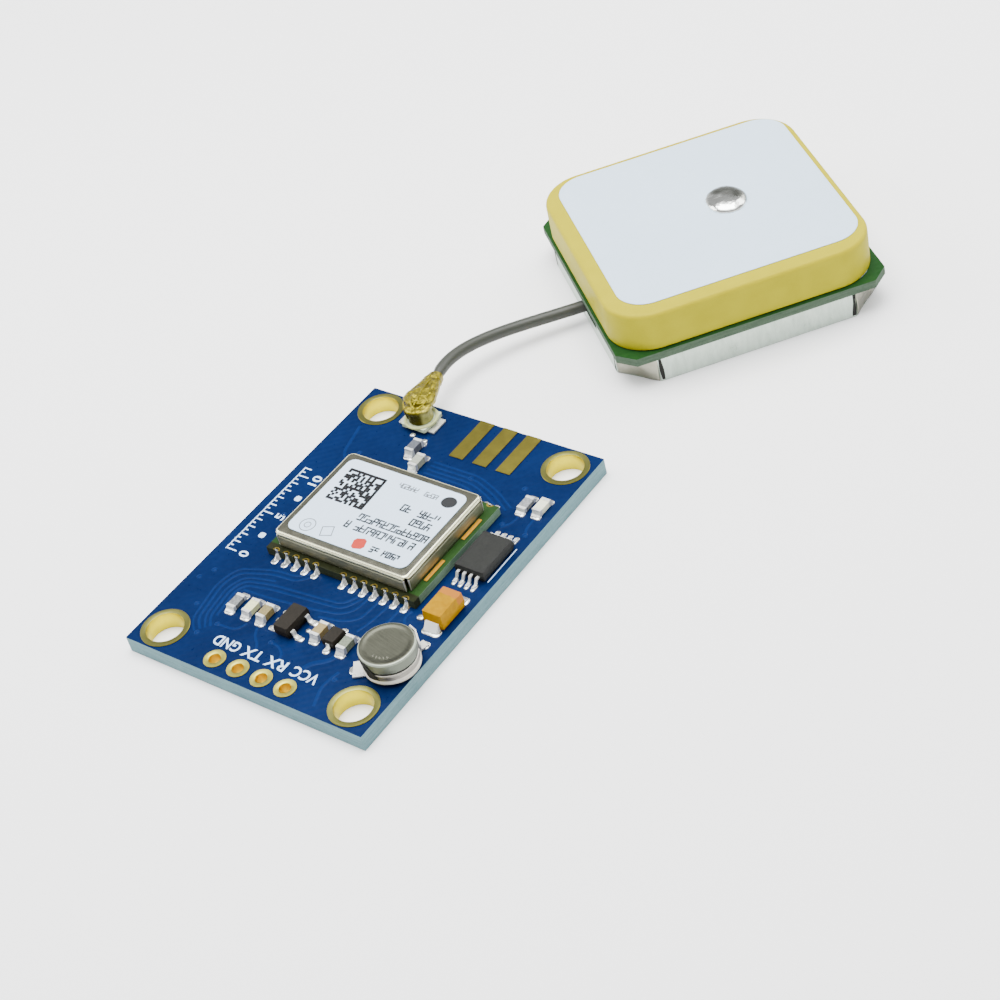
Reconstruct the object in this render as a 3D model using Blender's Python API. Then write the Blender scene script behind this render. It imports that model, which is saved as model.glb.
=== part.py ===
"""A GPS receiver board with a patch antenna on a short coax lead.

Metres, Z up. The origin is the centre of the carrier board's underside. X runs along the
board's short edge and Y along its long edge, towards the coax socket and the antenna.
The board and the antenna's shield both stand on the plane z = 0.
"""
import math

import bmesh
import bpy
from mathutils import Matrix, Vector

for old in list(bpy.data.objects):
    bpy.data.objects.remove(old, do_unlink=True)

MM = 0.001

# Shared clearances and layers
FIT = 0.03 * MM
COPPER_T = 0.05 * MM
CUT_OVER = 1.0 * MM
SHARP_R = 0.03 * MM
SOFT_R = 0.06 * MM
BLOCK_R = 0.08 * MM

# Carrier board
BOARD_X = 25.4 * MM
BOARD_Y = 34.6 * MM
BOARD_T = 1.6 * MM
SEAT_Z = BOARD_T + COPPER_T + FIT

# Mounting holes
HOLE_R = 1.65 * MM
HOLE_WALL = 0.08 * MM
HOLE_RING_R = 2.15 * MM
HOLE_RING_TO_SIDE = 0.35 * MM
HOLE_RING_TO_END = 0.15 * MM
HOLE_STEPS = 24
HOLE_X = BOARD_X / 2 - HOLE_RING_R - HOLE_RING_TO_SIDE
HOLE_Y = BOARD_Y / 2 - HOLE_RING_R - HOLE_RING_TO_END

# Header holes
HEADER_COUNT = 4
HEADER_PITCH = 2.54 * MM
HEADER_R = 0.5 * MM
HEADER_WALL = 0.06 * MM
HEADER_PAD_R = 0.97 * MM
HEADER_PAD_TO_END = 0.43 * MM
HEADER_STEPS = 16

# Edge connector pads
EDGE_PAD_COUNT = 3
EDGE_PAD_PITCH = 2.54 * MM
EDGE_PAD_MID_X = 2.89 * MM
EDGE_PAD_W = 1.5 * MM
EDGE_PAD_L = 5.0 * MM

# Receiver module
MODULE_X = 16.0 * MM
MODULE_Y = 12.2 * MM
MODULE_T = 0.8 * MM
MODULE_TO_SIDE = 4.33 * MM
MODULE_TO_END = 9.4 * MM
MODULE_AT_X = BOARD_X / 2 - MODULE_TO_SIDE - MODULE_X / 2
MODULE_AT_Y = BOARD_Y / 2 - MODULE_TO_END - MODULE_Y / 2

# Solder joints along the module's long sides
JOINT_PITCH = 1.1 * MM
JOINT_FIRST_X = 0.5 * MM
JOINT_MIDDLE_GAP = 3.0 * MM
JOINT_TO_END = 0.45 * MM
JOINT_FOOT_W = 0.62 * MM
JOINT_FOOT_OUT = 0.5 * MM
JOINT_SLOPE_OUT = 0.22 * MM
JOINT_NECK_W = 0.3 * MM
JOINT_NECK_OUT = 0.1 * MM
JOINT_TIP_OUT = 0.03 * MM
JOINT_FLARE = 1.28

# Module cover and label
COVER_MARGIN_X = 0.825 * MM
COVER_MARGIN_Y = 0.625 * MM
COVER_X = MODULE_X - 2 * COVER_MARGIN_X
COVER_Y = MODULE_Y - 2 * COVER_MARGIN_Y
COVER_H = 1.62 * MM
COVER_WALL = 0.2 * MM
COVER_CORNER_R = 0.6 * MM
COVER_TOP_R = 0.3 * MM
COVER_SHIFT_Y = -0.06 * MM
COVER_SLIT_W = 0.14 * MM
COVER_SLIT_LEFT = 0.45 * MM
COVER_Z0 = MODULE_T + COPPER_T + FIT
LABEL_MARGIN = 0.77 * MM
LABEL_R = 0.75 * MM
LABEL_T = 0.06 * MM

# Bare ground strips beside the cover
STRIP_W = 0.35 * MM
STRIP_L = 2.6 * MM
STRIP_GAP = 0.1 * MM
STRIP_YS = (2.85 * MM, -2.45 * MM)

# Parts under the cover
RECEIVER_SIZE = (6.0 * MM, 6.0 * MM, 0.85 * MM)
RECEIVER_AT = (-2.2 * MM, -0.6 * MM)
OSCILLATOR_SIZE = (2.5 * MM, 2.0 * MM, 0.8 * MM)
OSCILLATOR_AT = (3.6 * MM, -1.8 * MM)
FILTER_SIZE = (1.4 * MM, 1.1 * MM, 0.6 * MM)
FILTER_AT = (3.2 * MM, 2.4 * MM)

# Coax socket
SOCKET_TO_SIDE = 7.35 * MM
SOCKET_TO_END = 2.3 * MM
SOCKET_AT_X = -BOARD_X / 2 + SOCKET_TO_SIDE
SOCKET_AT_Y = BOARD_Y / 2 - SOCKET_TO_END
SOCKET_BASE = 2.7 * MM
SOCKET_BASE_H = 0.35 * MM
SOCKET_BASE_R = 0.12 * MM
SOCKET_FLANGE_T = 0.15 * MM
SOCKET_TAB_OUT = 0.65 * MM
SOCKET_TAB_W = 1.9 * MM
SOCKET_RING_R = 1.0 * MM
SOCKET_RING_WALL = 0.15 * MM
SOCKET_RING_H = 1.05 * MM
SOCKET_PIN_R = 0.22 * MM
SOCKET_PIN_FOOT_R = 0.5 * MM
SOCKET_PIN_H = 0.85 * MM

# Coax plug
PLUG_TURN = math.radians(107.5)
PLUG_SLACK = 0.08 * MM
PLUG_WALL = 0.2 * MM
PLUG_R = SOCKET_RING_R + PLUG_SLACK + PLUG_WALL
PLUG_TOP_T = 0.25 * MM
PLUG_ROOM = 0.4 * MM
PLUG_CHAMFER = 0.18 * MM
PLUG_LIFT = 0.09 * MM
INSULATOR_T = 0.35 * MM
CONTACT_WALL = 0.14 * MM
CONTACT_L = 0.65 * MM

# Coax lead
LEAD_R = 0.46 * MM
LEAD_START_TURN = math.radians(110.0)
LEAD_START_PULL = 5.2 * MM
LEAD_END_PULL = 6.45 * MM
LEAD_STEP = 2.2 * MM
LEAD_TAIL = 2.6 * MM
LEAD_POINTS_MIN = 8

# Crimp barrel of the plug, measured out from the socket's middle
CRIMP_L = 4.9 * MM
CRIMP_SHOULDER = 2.7 * MM
CRIMP_SPREAD = 2.02 * MM
CRIMP_NECK = 4.12 * MM
CRIMP_W = 2.3 * MM
CRIMP_ROOT_W = 1.84 * MM
CRIMP_BOW = 0.3 * MM
CRIMP_SIDE_WALL = 0.16 * MM
CRIMP_TOP_WALL = 0.09 * MM
CRIMP_CORNER = 0.3 * MM
CRIMP_BORE_L = 2.9 * MM
CRIMP_END_W = 2 * (LEAD_R + FIT + CRIMP_SIDE_WALL)
CRIMP_END_H = 2 * (LEAD_R + FIT + CRIMP_TOP_WALL)

# Sheet and spacing shared by the leaded chips
LEAD_T = 0.13 * MM
LEAD_FOOT = 0.45 * MM
LEAD_IN_BODY = 0.2 * MM
CHIP_STANDOFF = 0.08 * MM
CHIP_DRAFT = 0.08 * MM

# Backup cell, beside the mounting hole at the header's end
CELL_R = 2.4 * MM
CELL_OVERHANG = 0.2 * MM
CELL_TO_HOLE = 0.3 * MM
CELL_TAB_T = 0.15 * MM
CELL_CAP_H = 0.65 * MM
CELL_GASKET_H = 0.55 * MM
CELL_CAN_H = 1.05 * MM
CELL_GASKET_IN = 0.2 * MM
CELL_EDGE_R = 0.22 * MM
CELL_CORNER = 0.07 * MM
CELL_RIM_W = 0.26 * MM
CELL_DISH_W = 0.18 * MM
CELL_DISH_DEPTH = 0.04 * MM
CELL_TAB_W = 1.7 * MM
CELL_FAR_TAB_W = 0.8 * MM
CELL_NEAR_TURN = math.radians(215.0)
CELL_FAR_TURN = math.radians(71.5)
CELL_TAB_OUT = 0.85 * MM
CELL_TAB_UNDER = 3.6 * MM
CELL_FAR_TAB_H = 2.4 * MM
CELL_STEPS = 32
CELL_AT_X = BOARD_X / 2 + CELL_OVERHANG - CELL_R
CELL_AT_Y = -HOLE_Y + HOLE_RING_R + CELL_TO_HOLE + CELL_R

# Tantalum capacitor, next up the same side
TANTALUM_W = 2.0 * MM
TANTALUM_L = 3.15 * MM
TANTALUM_H = 1.5 * MM
TANTALUM_BELT = 0.6 * MM
TANTALUM_FOOT_W = 1.3 * MM
TANTALUM_FOOT_IN = 0.7 * MM
TANTALUM_FOOT_H = 0.12 * MM
TANTALUM_SOLDER = 0.55 * MM
TANTALUM_SOLDER_H = 0.75 * MM
TANTALUM_SOLDER_T = 0.12 * MM
TANTALUM_TO_SIDE = 0.6 * MM
TANTALUM_TO_CELL = 0.925 * MM
TANTALUM_AT_X = BOARD_X / 2 - TANTALUM_TO_SIDE - TANTALUM_W / 2
TANTALUM_AT_Y = CELL_AT_Y + CELL_R + CELL_TAB_OUT + TANTALUM_TO_CELL + TANTALUM_SOLDER + TANTALUM_L / 2

# Memory chip, next up the same side
MEMORY_W = 3.0 * MM
MEMORY_L = 4.4 * MM
MEMORY_H = 0.95 * MM
MEMORY_LEADS_OUT = 1.0 * MM
MEMORY_LEAD_PITCH = 0.65 * MM
MEMORY_LEAD_W = 0.25 * MM
MEMORY_TO_MODULE = 0.58 * MM
MEMORY_TO_TANTALUM = 1.225 * MM
MEMORY_REACH = MEMORY_L / 2 + MEMORY_LEADS_OUT
MEMORY_AT_X = MODULE_AT_X + MODULE_X / 2 + MEMORY_TO_MODULE + MEMORY_W / 2
MEMORY_AT_Y = TANTALUM_AT_Y + TANTALUM_L / 2 + TANTALUM_SOLDER + MEMORY_TO_TANTALUM + MEMORY_REACH

# Two-ended chip parts
CHIP_W = 0.85 * MM
CHIP_L = 1.6 * MM
CHIP_TERMINAL = 0.28 * MM
CHIP_LIP = 0.03 * MM
CHIP_SOLDER = 0.3 * MM
CHIP_SOLDER_BEND = 0.1 * MM
CHIP_SOLDER_RISE = 0.7
CHIP_REACH = CHIP_L / 2 + CHIP_SOLDER
RESISTOR_H = 0.45 * MM
LED_H = 0.6 * MM
CAPACITOR_H = 0.7 * MM
INDUCTOR_H = 0.75 * MM

# Voltage regulator, turned so that its leads lie along X
REGULATOR_W = 2.9 * MM
REGULATOR_L = 1.6 * MM
REGULATOR_H = 1.05 * MM
REGULATOR_LEADS_OUT = 0.7 * MM
REGULATOR_LEAD_PITCH = 0.95 * MM
REGULATOR_LEAD_W = 0.4 * MM
REGULATOR_REACH = REGULATOR_L / 2 + REGULATOR_LEADS_OUT

# Diode
DIODE_W = 1.3 * MM
DIODE_L = 1.7 * MM
DIODE_H = 0.75 * MM
DIODE_LEADS_OUT = 0.45 * MM
DIODE_LEAD_W = 0.4 * MM

# The row of parts between the module and the header; gaps are counted from the regulator outwards
ROW_TO_END = 7.1 * MM
ROW_Y = -BOARD_Y / 2 + ROW_TO_END
ROW_GAP_CAPACITOR_1 = 0.925 * MM
ROW_GAP_LED_1 = 0.75 * MM
ROW_GAP_RESISTOR_1 = 0.9 * MM
ROW_GAP_CAPACITOR_2 = 0.855 * MM
ROW_GAP_DIODE = 0.545 * MM
ROW_GAP_CAPACITOR_3 = 0.275 * MM
REGULATOR_RISE = 0.05 * MM
CAPACITOR_2_RISE = 0.3 * MM
DIODE_RISE = 0.15 * MM
CAPACITOR_3_RISE = 0.05 * MM

# The chip parts at the far end, measured from the socket, the side, the module and the memory chip
CAPACITOR_4_FROM_SOCKET = 3.15 * MM
CAPACITOR_4_TO_MODULE = 0.65 * MM
INDUCTOR_FROM_SOCKET = 1.7 * MM
INDUCTOR_TO_MODULE = 2.1 * MM
LED_2_TO_SIDE = 1.35 * MM
LED_2_TO_MEMORY = 2.8 * MM
RESISTOR_2_TO_LED_2 = 0.64 * MM
RESISTOR_2_TO_MEMORY = 2.6 * MM

# Antenna
ANTENNA_AT_X = 6.706 * MM
ANTENNA_TO_BOARD = 27.585 * MM
ANTENNA_AT_Y = BOARD_Y / 2 + ANTENNA_TO_BOARD
ANTENNA_TURN = math.radians(51.0)
SHIELD_SIZE = 25.2 * MM
SHIELD_CHAMFER = 3.25 * MM
SHIELD_H = 2.6 * MM
SHIELD_SHEET = 0.25 * MM
SHIELD_SEAM = 0.14 * MM
SHIELD_SEAM_LEFT = 0.06 * MM
SHIELD_NOTCH_W = 4.2 * MM
SHIELD_NOTCH_H = 1.5 * MM
SHIELD_NOTCH_MID = -1.8 * MM
ANTENNA_BOARD_LIP = 0.25 * MM
ANTENNA_BOARD_SIZE = SHIELD_SIZE + 2 * ANTENNA_BOARD_LIP
ANTENNA_BOARD_CHAMFER = 1.5 * MM
ANTENNA_BOARD_T = 0.8 * MM
GROUND_LAYER_T = 0.05 * MM
GROUND_LAYER_IN = 0.3 * MM
CERAMIC_IN_X = 0.55 * MM
CERAMIC_IN_Y = 0.35 * MM
CERAMIC_X = ANTENNA_BOARD_SIZE - 2 * CERAMIC_IN_X
CERAMIC_Y = ANTENNA_BOARD_SIZE - 2 * CERAMIC_IN_Y
CERAMIC_CORNER_R = 3.0 * MM
CERAMIC_T = 3.8 * MM
CERAMIC_TOP_R = 0.45 * MM
CERAMIC_FOOT_R = 0.15 * MM
ELECTRODE_IN_X = 0.85 * MM
ELECTRODE_IN_Y = 1.05 * MM
ELECTRODE_SHIFT = (0.17 * MM, 0.6 * MM)
ELECTRODE_R = 2.3 * MM
FEED_AT = (2.5 * MM, 0.45 * MM)
FEED_PIN_R = 0.45 * MM
FEED_HOLE_SLACK = 0.15 * MM
FEED_DOME_R = 1.85 * MM
FEED_DOME_H = 0.45 * MM
FEED_TAIL = 0.4 * MM
FEED_TIP = 0.15 * MM
AMPLIFIER_SIZE = (2.0 * MM, 2.0 * MM, 0.75 * MM)
AMPLIFIER_AT = (-3.2 * MM, 1.6 * MM)
ANTENNA_FILTER_SIZE = (3.0 * MM, 3.0 * MM, 1.1 * MM)
ANTENNA_FILTER_AT = (-1.5 * MM, -5.4 * MM)

# Where the lead enters the shield's notch
LEAD_TO_NOTCH_END = 0.46 * MM
LEAD_TO_NOTCH_FLOOR = 0.19 * MM
LEAD_ENTRY_Y = SHIELD_NOTCH_MID + SHIELD_NOTCH_W / 2 - LEAD_TO_NOTCH_END - LEAD_R
LEAD_ENTRY_Z = SHIELD_H - SHIELD_NOTCH_H + LEAD_TO_NOTCH_FLOOR + LEAD_R

# Heights in the antenna's stack
ANTENNA_BOARD_Z0 = SHIELD_H + FIT
ANTENNA_BOARD_Z1 = ANTENNA_BOARD_Z0 + ANTENNA_BOARD_T
GROUND_Z0 = ANTENNA_BOARD_Z1 + FIT
CERAMIC_Z0 = GROUND_Z0 + GROUND_LAYER_T + FIT
ELECTRODE_Z0 = CERAMIC_Z0 + CERAMIC_T + FIT
FEED_DOME_Z0 = ELECTRODE_Z0 + COPPER_T + FIT

# Heights in the socket and plug, above the solder lands that they stand on
SOCKET_BASE_Z0 = SOCKET_FLANGE_T + FIT
SOCKET_BASE_Z1 = SOCKET_BASE_Z0 + SOCKET_BASE_H
RING_Z1 = SOCKET_FLANGE_T + SOCKET_RING_H
PIN_Z1 = SOCKET_FLANGE_T + SOCKET_PIN_H
PLUG_Z0 = SOCKET_BASE_Z1 + PLUG_LIFT
PLUG_ROOM_Z1 = RING_Z1 + PLUG_ROOM
PLUG_Z1 = PLUG_ROOM_Z1 + PLUG_TOP_T
CRIMP_H = PLUG_Z1 - PLUG_Z0 - 2 * FIT
LEAD_START_Z = (PLUG_Z0 + PLUG_Z1) / 2

# Heights in the backup cell, above the solder lands
CELL_CAN_Z0 = CELL_TAB_T + FIT
CELL_GASKET_Z0 = CELL_CAN_Z0 + CELL_CAN_H + FIT
CELL_CAP_Z0 = CELL_GASKET_Z0 + CELL_GASKET_H + FIT

# Surface finishes: colour, roughness, metallic
FINISHES = {
    "board_mask": ((0.008, 0.05, 0.2), 0.35, 0.0),
    "gold_plating": ((0.68, 0.47, 0.13), 0.3, 1.0),
    "module_laminate": ((0.03, 0.2, 0.05), 0.4, 0.0),
    "cover_sheet": ((0.66, 0.64, 0.56), 0.28, 1.0),
    "label_film": ((0.8, 0.82, 0.82), 0.45, 0.0),
    "chip_black": ((0.045, 0.045, 0.047), 0.5, 0.0),
    "chip_grey": ((0.4, 0.41, 0.42), 0.4, 0.0),
    "socket_plastic": ((0.78, 0.77, 0.7), 0.45, 0.0),
    "bright_tin": ((0.75, 0.75, 0.74), 0.3, 1.0),
    "contact_gold": ((0.66, 0.5, 0.16), 0.3, 1.0),
    "white_insulator": ((0.82, 0.82, 0.8), 0.4, 0.0),
    "lead_jacket": ((0.26, 0.26, 0.23), 0.5, 0.0),
    "tantalum_yellow": ((0.72, 0.42, 0.04), 0.45, 0.0),
    "cell_steel": ((0.5, 0.5, 0.48), 0.3, 1.0),
    "gasket_black": ((0.03, 0.03, 0.03), 0.6, 0.0),
    "led_white": ((0.8, 0.79, 0.68), 0.4, 0.0),
    "capacitor_tan": ((0.42, 0.28, 0.16), 0.5, 0.0),
    "inductor_dark": ((0.09, 0.09, 0.1), 0.5, 0.0),
    "ceramic_cream": ((0.66, 0.56, 0.22), 0.5, 0.0),
    "electrode_silver": ((0.74, 0.76, 0.78), 0.45, 0.6),
    "feed_solder": ((0.7, 0.7, 0.7), 0.25, 1.0),
    "antenna_laminate": ((0.02, 0.2, 0.05), 0.4, 0.0),
    "shield_sheet": ((0.68, 0.69, 0.67), 0.3, 1.0),
}


# Shared outlines
def rounded_rect(size_x, size_y, radius, steps):
    """Counter-clockwise outline of a rectangle with round corners, centred on the origin."""
    corner_x = size_x / 2 - radius
    corner_y = size_y / 2 - radius
    points = []
    for quarter, (side_x, side_y) in enumerate(((1, 1), (-1, 1), (-1, -1), (1, -1))):
        for step in range(steps + 1):
            angle = math.radians(90.0) * (quarter + step / steps)
            x = side_x * corner_x + radius * math.cos(angle)
            y = side_y * corner_y + radius * math.sin(angle)
            points.append((x, y))
    return points


def circle(radius, steps):
    """Counter-clockwise outline of a circle, centred on the origin."""
    turns = [2 * math.pi * step / steps for step in range(steps)]
    return [(radius * math.cos(turn), radius * math.sin(turn)) for turn in turns]


def lift(outline, height, shift=(0.0, 0.0)):
    """The outline as a ring of points at one height."""
    return [Vector((x + shift[0], y + shift[1], height)) for x, y in outline]


def spread(count, pitch):
    """Evenly spaced places about zero."""
    return [(index - (count - 1) / 2) * pitch for index in range(count)]


def ribbon(path, thickness):
    """Outline of a sheet of the given thickness bent along a path of (out, up) points."""
    left = []
    right = []
    for index, point in enumerate(path):
        here = Vector(point)
        before = here - Vector(path[index - 1]) if index else None
        after = Vector(path[index + 1]) - here if index + 1 < len(path) else None
        normals = [Vector((-way.y, way.x)).normalized() for way in (before, after) if way is not None]
        mean = sum(normals, Vector((0.0, 0.0))).normalized()
        reach = thickness / 2 / mean.dot(normals[0])
        left.append(here + mean * reach)
        right.append(here - mean * reach)
    return left + right[::-1]


def turned_z(x, y, turn):
    """Matrix that turns about Z and then moves along X and Y."""
    return Matrix.Translation((x, y, 0.0)) @ Matrix.Rotation(turn, 4, "Z")


# Shared solids
def loft(mesh, rings, closed=False):
    """Skin a chain of rings with equal counts; cap its two ends, or join the last ring to the first."""
    rows = [[mesh.verts.new(point) for point in ring] for ring in rings]
    pairs = list(zip(rows, rows[1:]))
    if closed:
        pairs.append((rows[-1], rows[0]))
    count = len(rings[0])
    for low, high in pairs:
        for index in range(count):
            following = (index + 1) % count
            mesh.faces.new((low[index], low[following], high[following], high[index]))
    if not closed:
        mesh.faces.new(rows[0][::-1])
        mesh.faces.new(rows[-1])


def revolve(mesh, profile, steps, closed=False):
    """Turn a profile of (radius, height) points about the local Z axis."""
    loft(mesh, [lift(circle(radius, steps), height) for radius, height in profile], closed)


def slab(mesh, outline, low, high):
    """Raise an outline between two heights."""
    loft(mesh, [lift(outline, low), lift(outline, high)])


def soft_block(mesh, size):
    """A block on z = 0 whose upright and flat edges are all broken."""
    size_x, size_y, height = size
    edge = BLOCK_R
    full = rounded_rect(size_x, size_y, edge + SHARP_R, 1)
    small = rounded_rect(size_x - 2 * edge, size_y - 2 * edge, SHARP_R, 1)
    loft(mesh, [lift(small, 0.0), lift(full, edge), lift(full, height - edge), lift(small, height)])


def box(mesh, size, place):
    """A sharp box of the given size, centred by a matrix."""
    before = set(mesh.verts)
    bmesh.ops.create_cube(mesh, size=1.0)
    new = [vert for vert in mesh.verts if vert not in before]
    bmesh.ops.transform(mesh, matrix=place @ Matrix.Diagonal((*size, 1.0)), verts=new)


def bent_strip(mesh, path, thickness, width, place):
    """A bent sheet strip: the path is in local X and Z, the width along local Y."""
    outline = ribbon(path, thickness)
    near = [place @ Vector((point.x, -width / 2, point.y)) for point in outline]
    far = [place @ Vector((point.x, width / 2, point.y)) for point in outline]
    loft(mesh, [near, far])


# Objects
def stand(name, x, y, z=0.0, turn=0.0):
    """An empty that carries one group of pieces, turned about Z."""
    frame = bpy.data.objects.new(name, None)
    frame.location = (x, y, z)
    frame.rotation_euler.z = turn
    bpy.context.scene.collection.objects.link(frame)
    return frame


def material(name, look):
    """One Principled material with the colour, roughness and metallic of a finish."""
    colour, roughness, metallic = FINISHES[look]
    made = bpy.data.materials.new(name + "_" + look)
    made.use_nodes = True
    shader = made.node_tree.nodes["Principled BSDF"]
    shader.inputs["Base Color"].default_value = (*colour, 1.0)
    shader.inputs["Roughness"].default_value = roughness
    shader.inputs["Metallic"].default_value = metallic
    made.diffuse_color = (*colour, 1.0)
    return made


def piece(name, mesh, look=None):
    """Make the named object from a mesh in its own frame and give it its material."""
    bmesh.ops.recalc_face_normals(mesh, faces=mesh.faces)
    data = bpy.data.meshes.new(name)
    mesh.to_mesh(data)
    mesh.free()
    thing = bpy.data.objects.new(name, data)
    bpy.context.scene.collection.objects.link(thing)
    if look is not None:
        data.materials.append(material(name, look))
    return thing


def combine(target, operand_mesh, operation):
    """Apply one exact Boolean to an object, with a mesh in the same frame as its other operand."""
    other = piece(target.name + "_operand", operand_mesh)
    other.hide_render = True
    other.display_type = "WIRE"
    change = target.modifiers.new(operation.lower(), "BOOLEAN")
    change.solver = "EXACT"
    change.operation = operation
    change.object = other
    bpy.context.view_layer.update()
    shaped = bpy.data.meshes.new_from_object(target.evaluated_get(bpy.context.evaluated_depsgraph_get()))
    target.modifiers.clear()
    target.data = shaped
    bpy.data.objects.remove(other, do_unlink=True)


def smooth_over(thing, angle):
    """Smooth shading with sharp edges above an angle."""
    thing.data.shade_smooth()
    thing.data.set_sharp_from_angle(angle=math.radians(angle))


def place(thing, x=0.0, y=0.0, z=0.0, turn=0.0, parent=None):
    """Put an object at a location, turned about Z, on its parent if it has one."""
    thing.location = (x, y, z)
    thing.rotation_euler.z = turn
    thing.parent = parent


# Carrier board
def mounting_points():
    return [(-HOLE_X, -HOLE_Y), (HOLE_X, -HOLE_Y), (HOLE_X, HOLE_Y), (-HOLE_X, HOLE_Y)]


def header_points():
    y = -BOARD_Y / 2 + HEADER_PAD_TO_END + HEADER_PAD_R
    return [(x, y) for x in spread(HEADER_COUNT, HEADER_PITCH)]


def plated_hole_cutter(mesh, point, barrel_r, pad_r, steps):
    """Room for one plated hole: wide and shallow at the underside for its lower ring."""
    recess = COPPER_T + FIT
    levels = [
        (pad_r + FIT, -CUT_OVER),
        (pad_r + FIT, recess),
        (barrel_r + FIT, recess),
        (barrel_r + FIT, BOARD_T + CUT_OVER),
    ]
    loft(mesh, [lift(circle(radius, steps), height, point) for radius, height in levels])


def make_board():
    mesh = bmesh.new()
    slab(mesh, rounded_rect(BOARD_X, BOARD_Y, SHARP_R, 1), 0.0, BOARD_T)
    board = piece("circuit_board", mesh, "board_mask")
    cutters = bmesh.new()
    for point in mounting_points():
        plated_hole_cutter(cutters, point, HOLE_R + HOLE_WALL, HOLE_RING_R, HOLE_STEPS)
    for point in header_points():
        plated_hole_cutter(cutters, point, HEADER_R + HEADER_WALL, HEADER_PAD_R, HEADER_STEPS)
    combine(board, cutters, "DIFFERENCE")


def make_plated_hole(name, point, inner_r, wall, pad_r, steps):
    """A plated barrel with a flush ring below and a raised ring above, as one turned tube."""
    barrel_r = inner_r + wall
    top = BOARD_T + FIT
    profile = [
        (inner_r, 0.0),
        (pad_r, 0.0),
        (pad_r, COPPER_T),
        (barrel_r, COPPER_T),
        (barrel_r, top),
        (pad_r, top),
        (pad_r, top + COPPER_T),
        (inner_r, top + COPPER_T),
    ]
    mesh = bmesh.new()
    revolve(mesh, profile, steps, closed=True)
    tube = piece(name, mesh, "gold_plating")
    smooth_over(tube, 40)
    place(tube, *point)


def make_plated_holes():
    for index, point in enumerate(mounting_points()):
        name = "hole_plating_" + str(index + 1)
        make_plated_hole(name, point, HOLE_R, HOLE_WALL, HOLE_RING_R, HOLE_STEPS)
    for index, point in enumerate(header_points()):
        name = "header_plating_" + str(index + 1)
        make_plated_hole(name, point, HEADER_R, HEADER_WALL, HEADER_PAD_R, HEADER_STEPS)


def make_edge_pads():
    y = BOARD_Y / 2 - EDGE_PAD_L / 2 - FIT
    for index, x in enumerate(spread(EDGE_PAD_COUNT, EDGE_PAD_PITCH)):
        mesh = bmesh.new()
        slab(mesh, rounded_rect(EDGE_PAD_W, EDGE_PAD_L, SHARP_R, 1), 0.0, COPPER_T)
        pad = piece("edge_pad_" + str(index + 1), mesh, "gold_plating")
        place(pad, EDGE_PAD_MID_X + x, y, BOARD_T + FIT)


# Receiver module
def joint_places():
    """Places along X of the solder joints on one long side: two runs with a gap between them."""
    end = MODULE_X / 2 - JOINT_TO_END
    high_first = JOINT_FIRST_X
    low_first = JOINT_MIDDLE_GAP - JOINT_FIRST_X
    high_count = 1 + int((end - high_first) / JOINT_PITCH)
    low_count = 1 + int((end - low_first) / JOINT_PITCH)
    high = [high_first + index * JOINT_PITCH for index in range(high_count)]
    low = [-low_first - index * JOINT_PITCH for index in range(low_count)]
    return sorted(low + high)


def toothed_outline(tooth_w, tooth_out):
    """Module outline with one small trapezoid tooth per joint along each long side."""
    half_x = MODULE_X / 2
    half_y = MODULE_Y / 2
    root_w = tooth_w * JOINT_FLARE
    row = joint_places()
    points = []
    for side, run in ((-1, row), (1, row[::-1])):
        points.append((side * half_x, side * half_y))
        for middle in run:
            for width, out in ((root_w, 0.0), (tooth_w, tooth_out), (-tooth_w, tooth_out), (-root_w, 0.0)):
                points.append((middle + side * width / 2, side * (half_y + out)))
        points.append((-side * half_x, side * half_y))
    return points


def make_module_board(parent):
    """The board and the solder on its edge contacts, lofted from wide feet to narrow necks."""
    sections = [
        (0.0, JOINT_FOOT_W, JOINT_FOOT_OUT),
        (0.3 * MODULE_T, JOINT_NECK_W, JOINT_SLOPE_OUT),
        (0.8 * MODULE_T, JOINT_NECK_W, JOINT_NECK_OUT),
        (MODULE_T, JOINT_NECK_W, JOINT_TIP_OUT),
    ]
    mesh = bmesh.new()
    loft(mesh, [lift(toothed_outline(width, out), height) for height, width, out in sections])
    place(piece("module_board", mesh, "module_laminate"), parent=parent)


def make_module_cover(parent):
    """A thin open-bottomed can with a rounded top edge and a slit up each corner."""
    inner = rounded_rect(COVER_X - 2 * COVER_WALL, COVER_Y - 2 * COVER_WALL, COVER_CORNER_R - COVER_WALL, 3)
    rings = [
        lift(inner, COVER_H - COVER_WALL),
        lift(inner, 0.0),
        lift(rounded_rect(COVER_X, COVER_Y, COVER_CORNER_R, 3), 0.0),
    ]
    for step in range(4):
        turn = math.radians(30.0) * step
        inset = COVER_TOP_R * (1 - math.cos(turn))
        outline = rounded_rect(COVER_X - 2 * inset, COVER_Y - 2 * inset, COVER_CORNER_R - inset, 3)
        rings.append(lift(outline, COVER_H - COVER_TOP_R * (1 - math.sin(turn))))
    mesh = bmesh.new()
    loft(mesh, rings)
    cover = piece("module_cover", mesh, "cover_sheet")
    cutters = bmesh.new()
    height = COVER_H - COVER_SLIT_LEFT
    reach = COVER_CORNER_R - COVER_WALL / 2
    for side_x in (-1, 1):
        for side_y in (-1, 1):
            x = side_x * (COVER_X / 2 - COVER_CORNER_R)
            y = side_y * (COVER_Y / 2 - COVER_CORNER_R)
            corner = turned_z(x, y, math.atan2(side_y, side_x))
            middle = corner @ Matrix.Translation((reach, 0.0, height / 2 - CUT_OVER / 2))
            box(cutters, (3 * COVER_WALL, COVER_SLIT_W, height + CUT_OVER), middle)
    combine(cover, cutters, "DIFFERENCE")
    smooth_over(cover, 35)
    place(cover, 0.0, COVER_SHIFT_Y, COVER_Z0, parent=parent)


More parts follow.
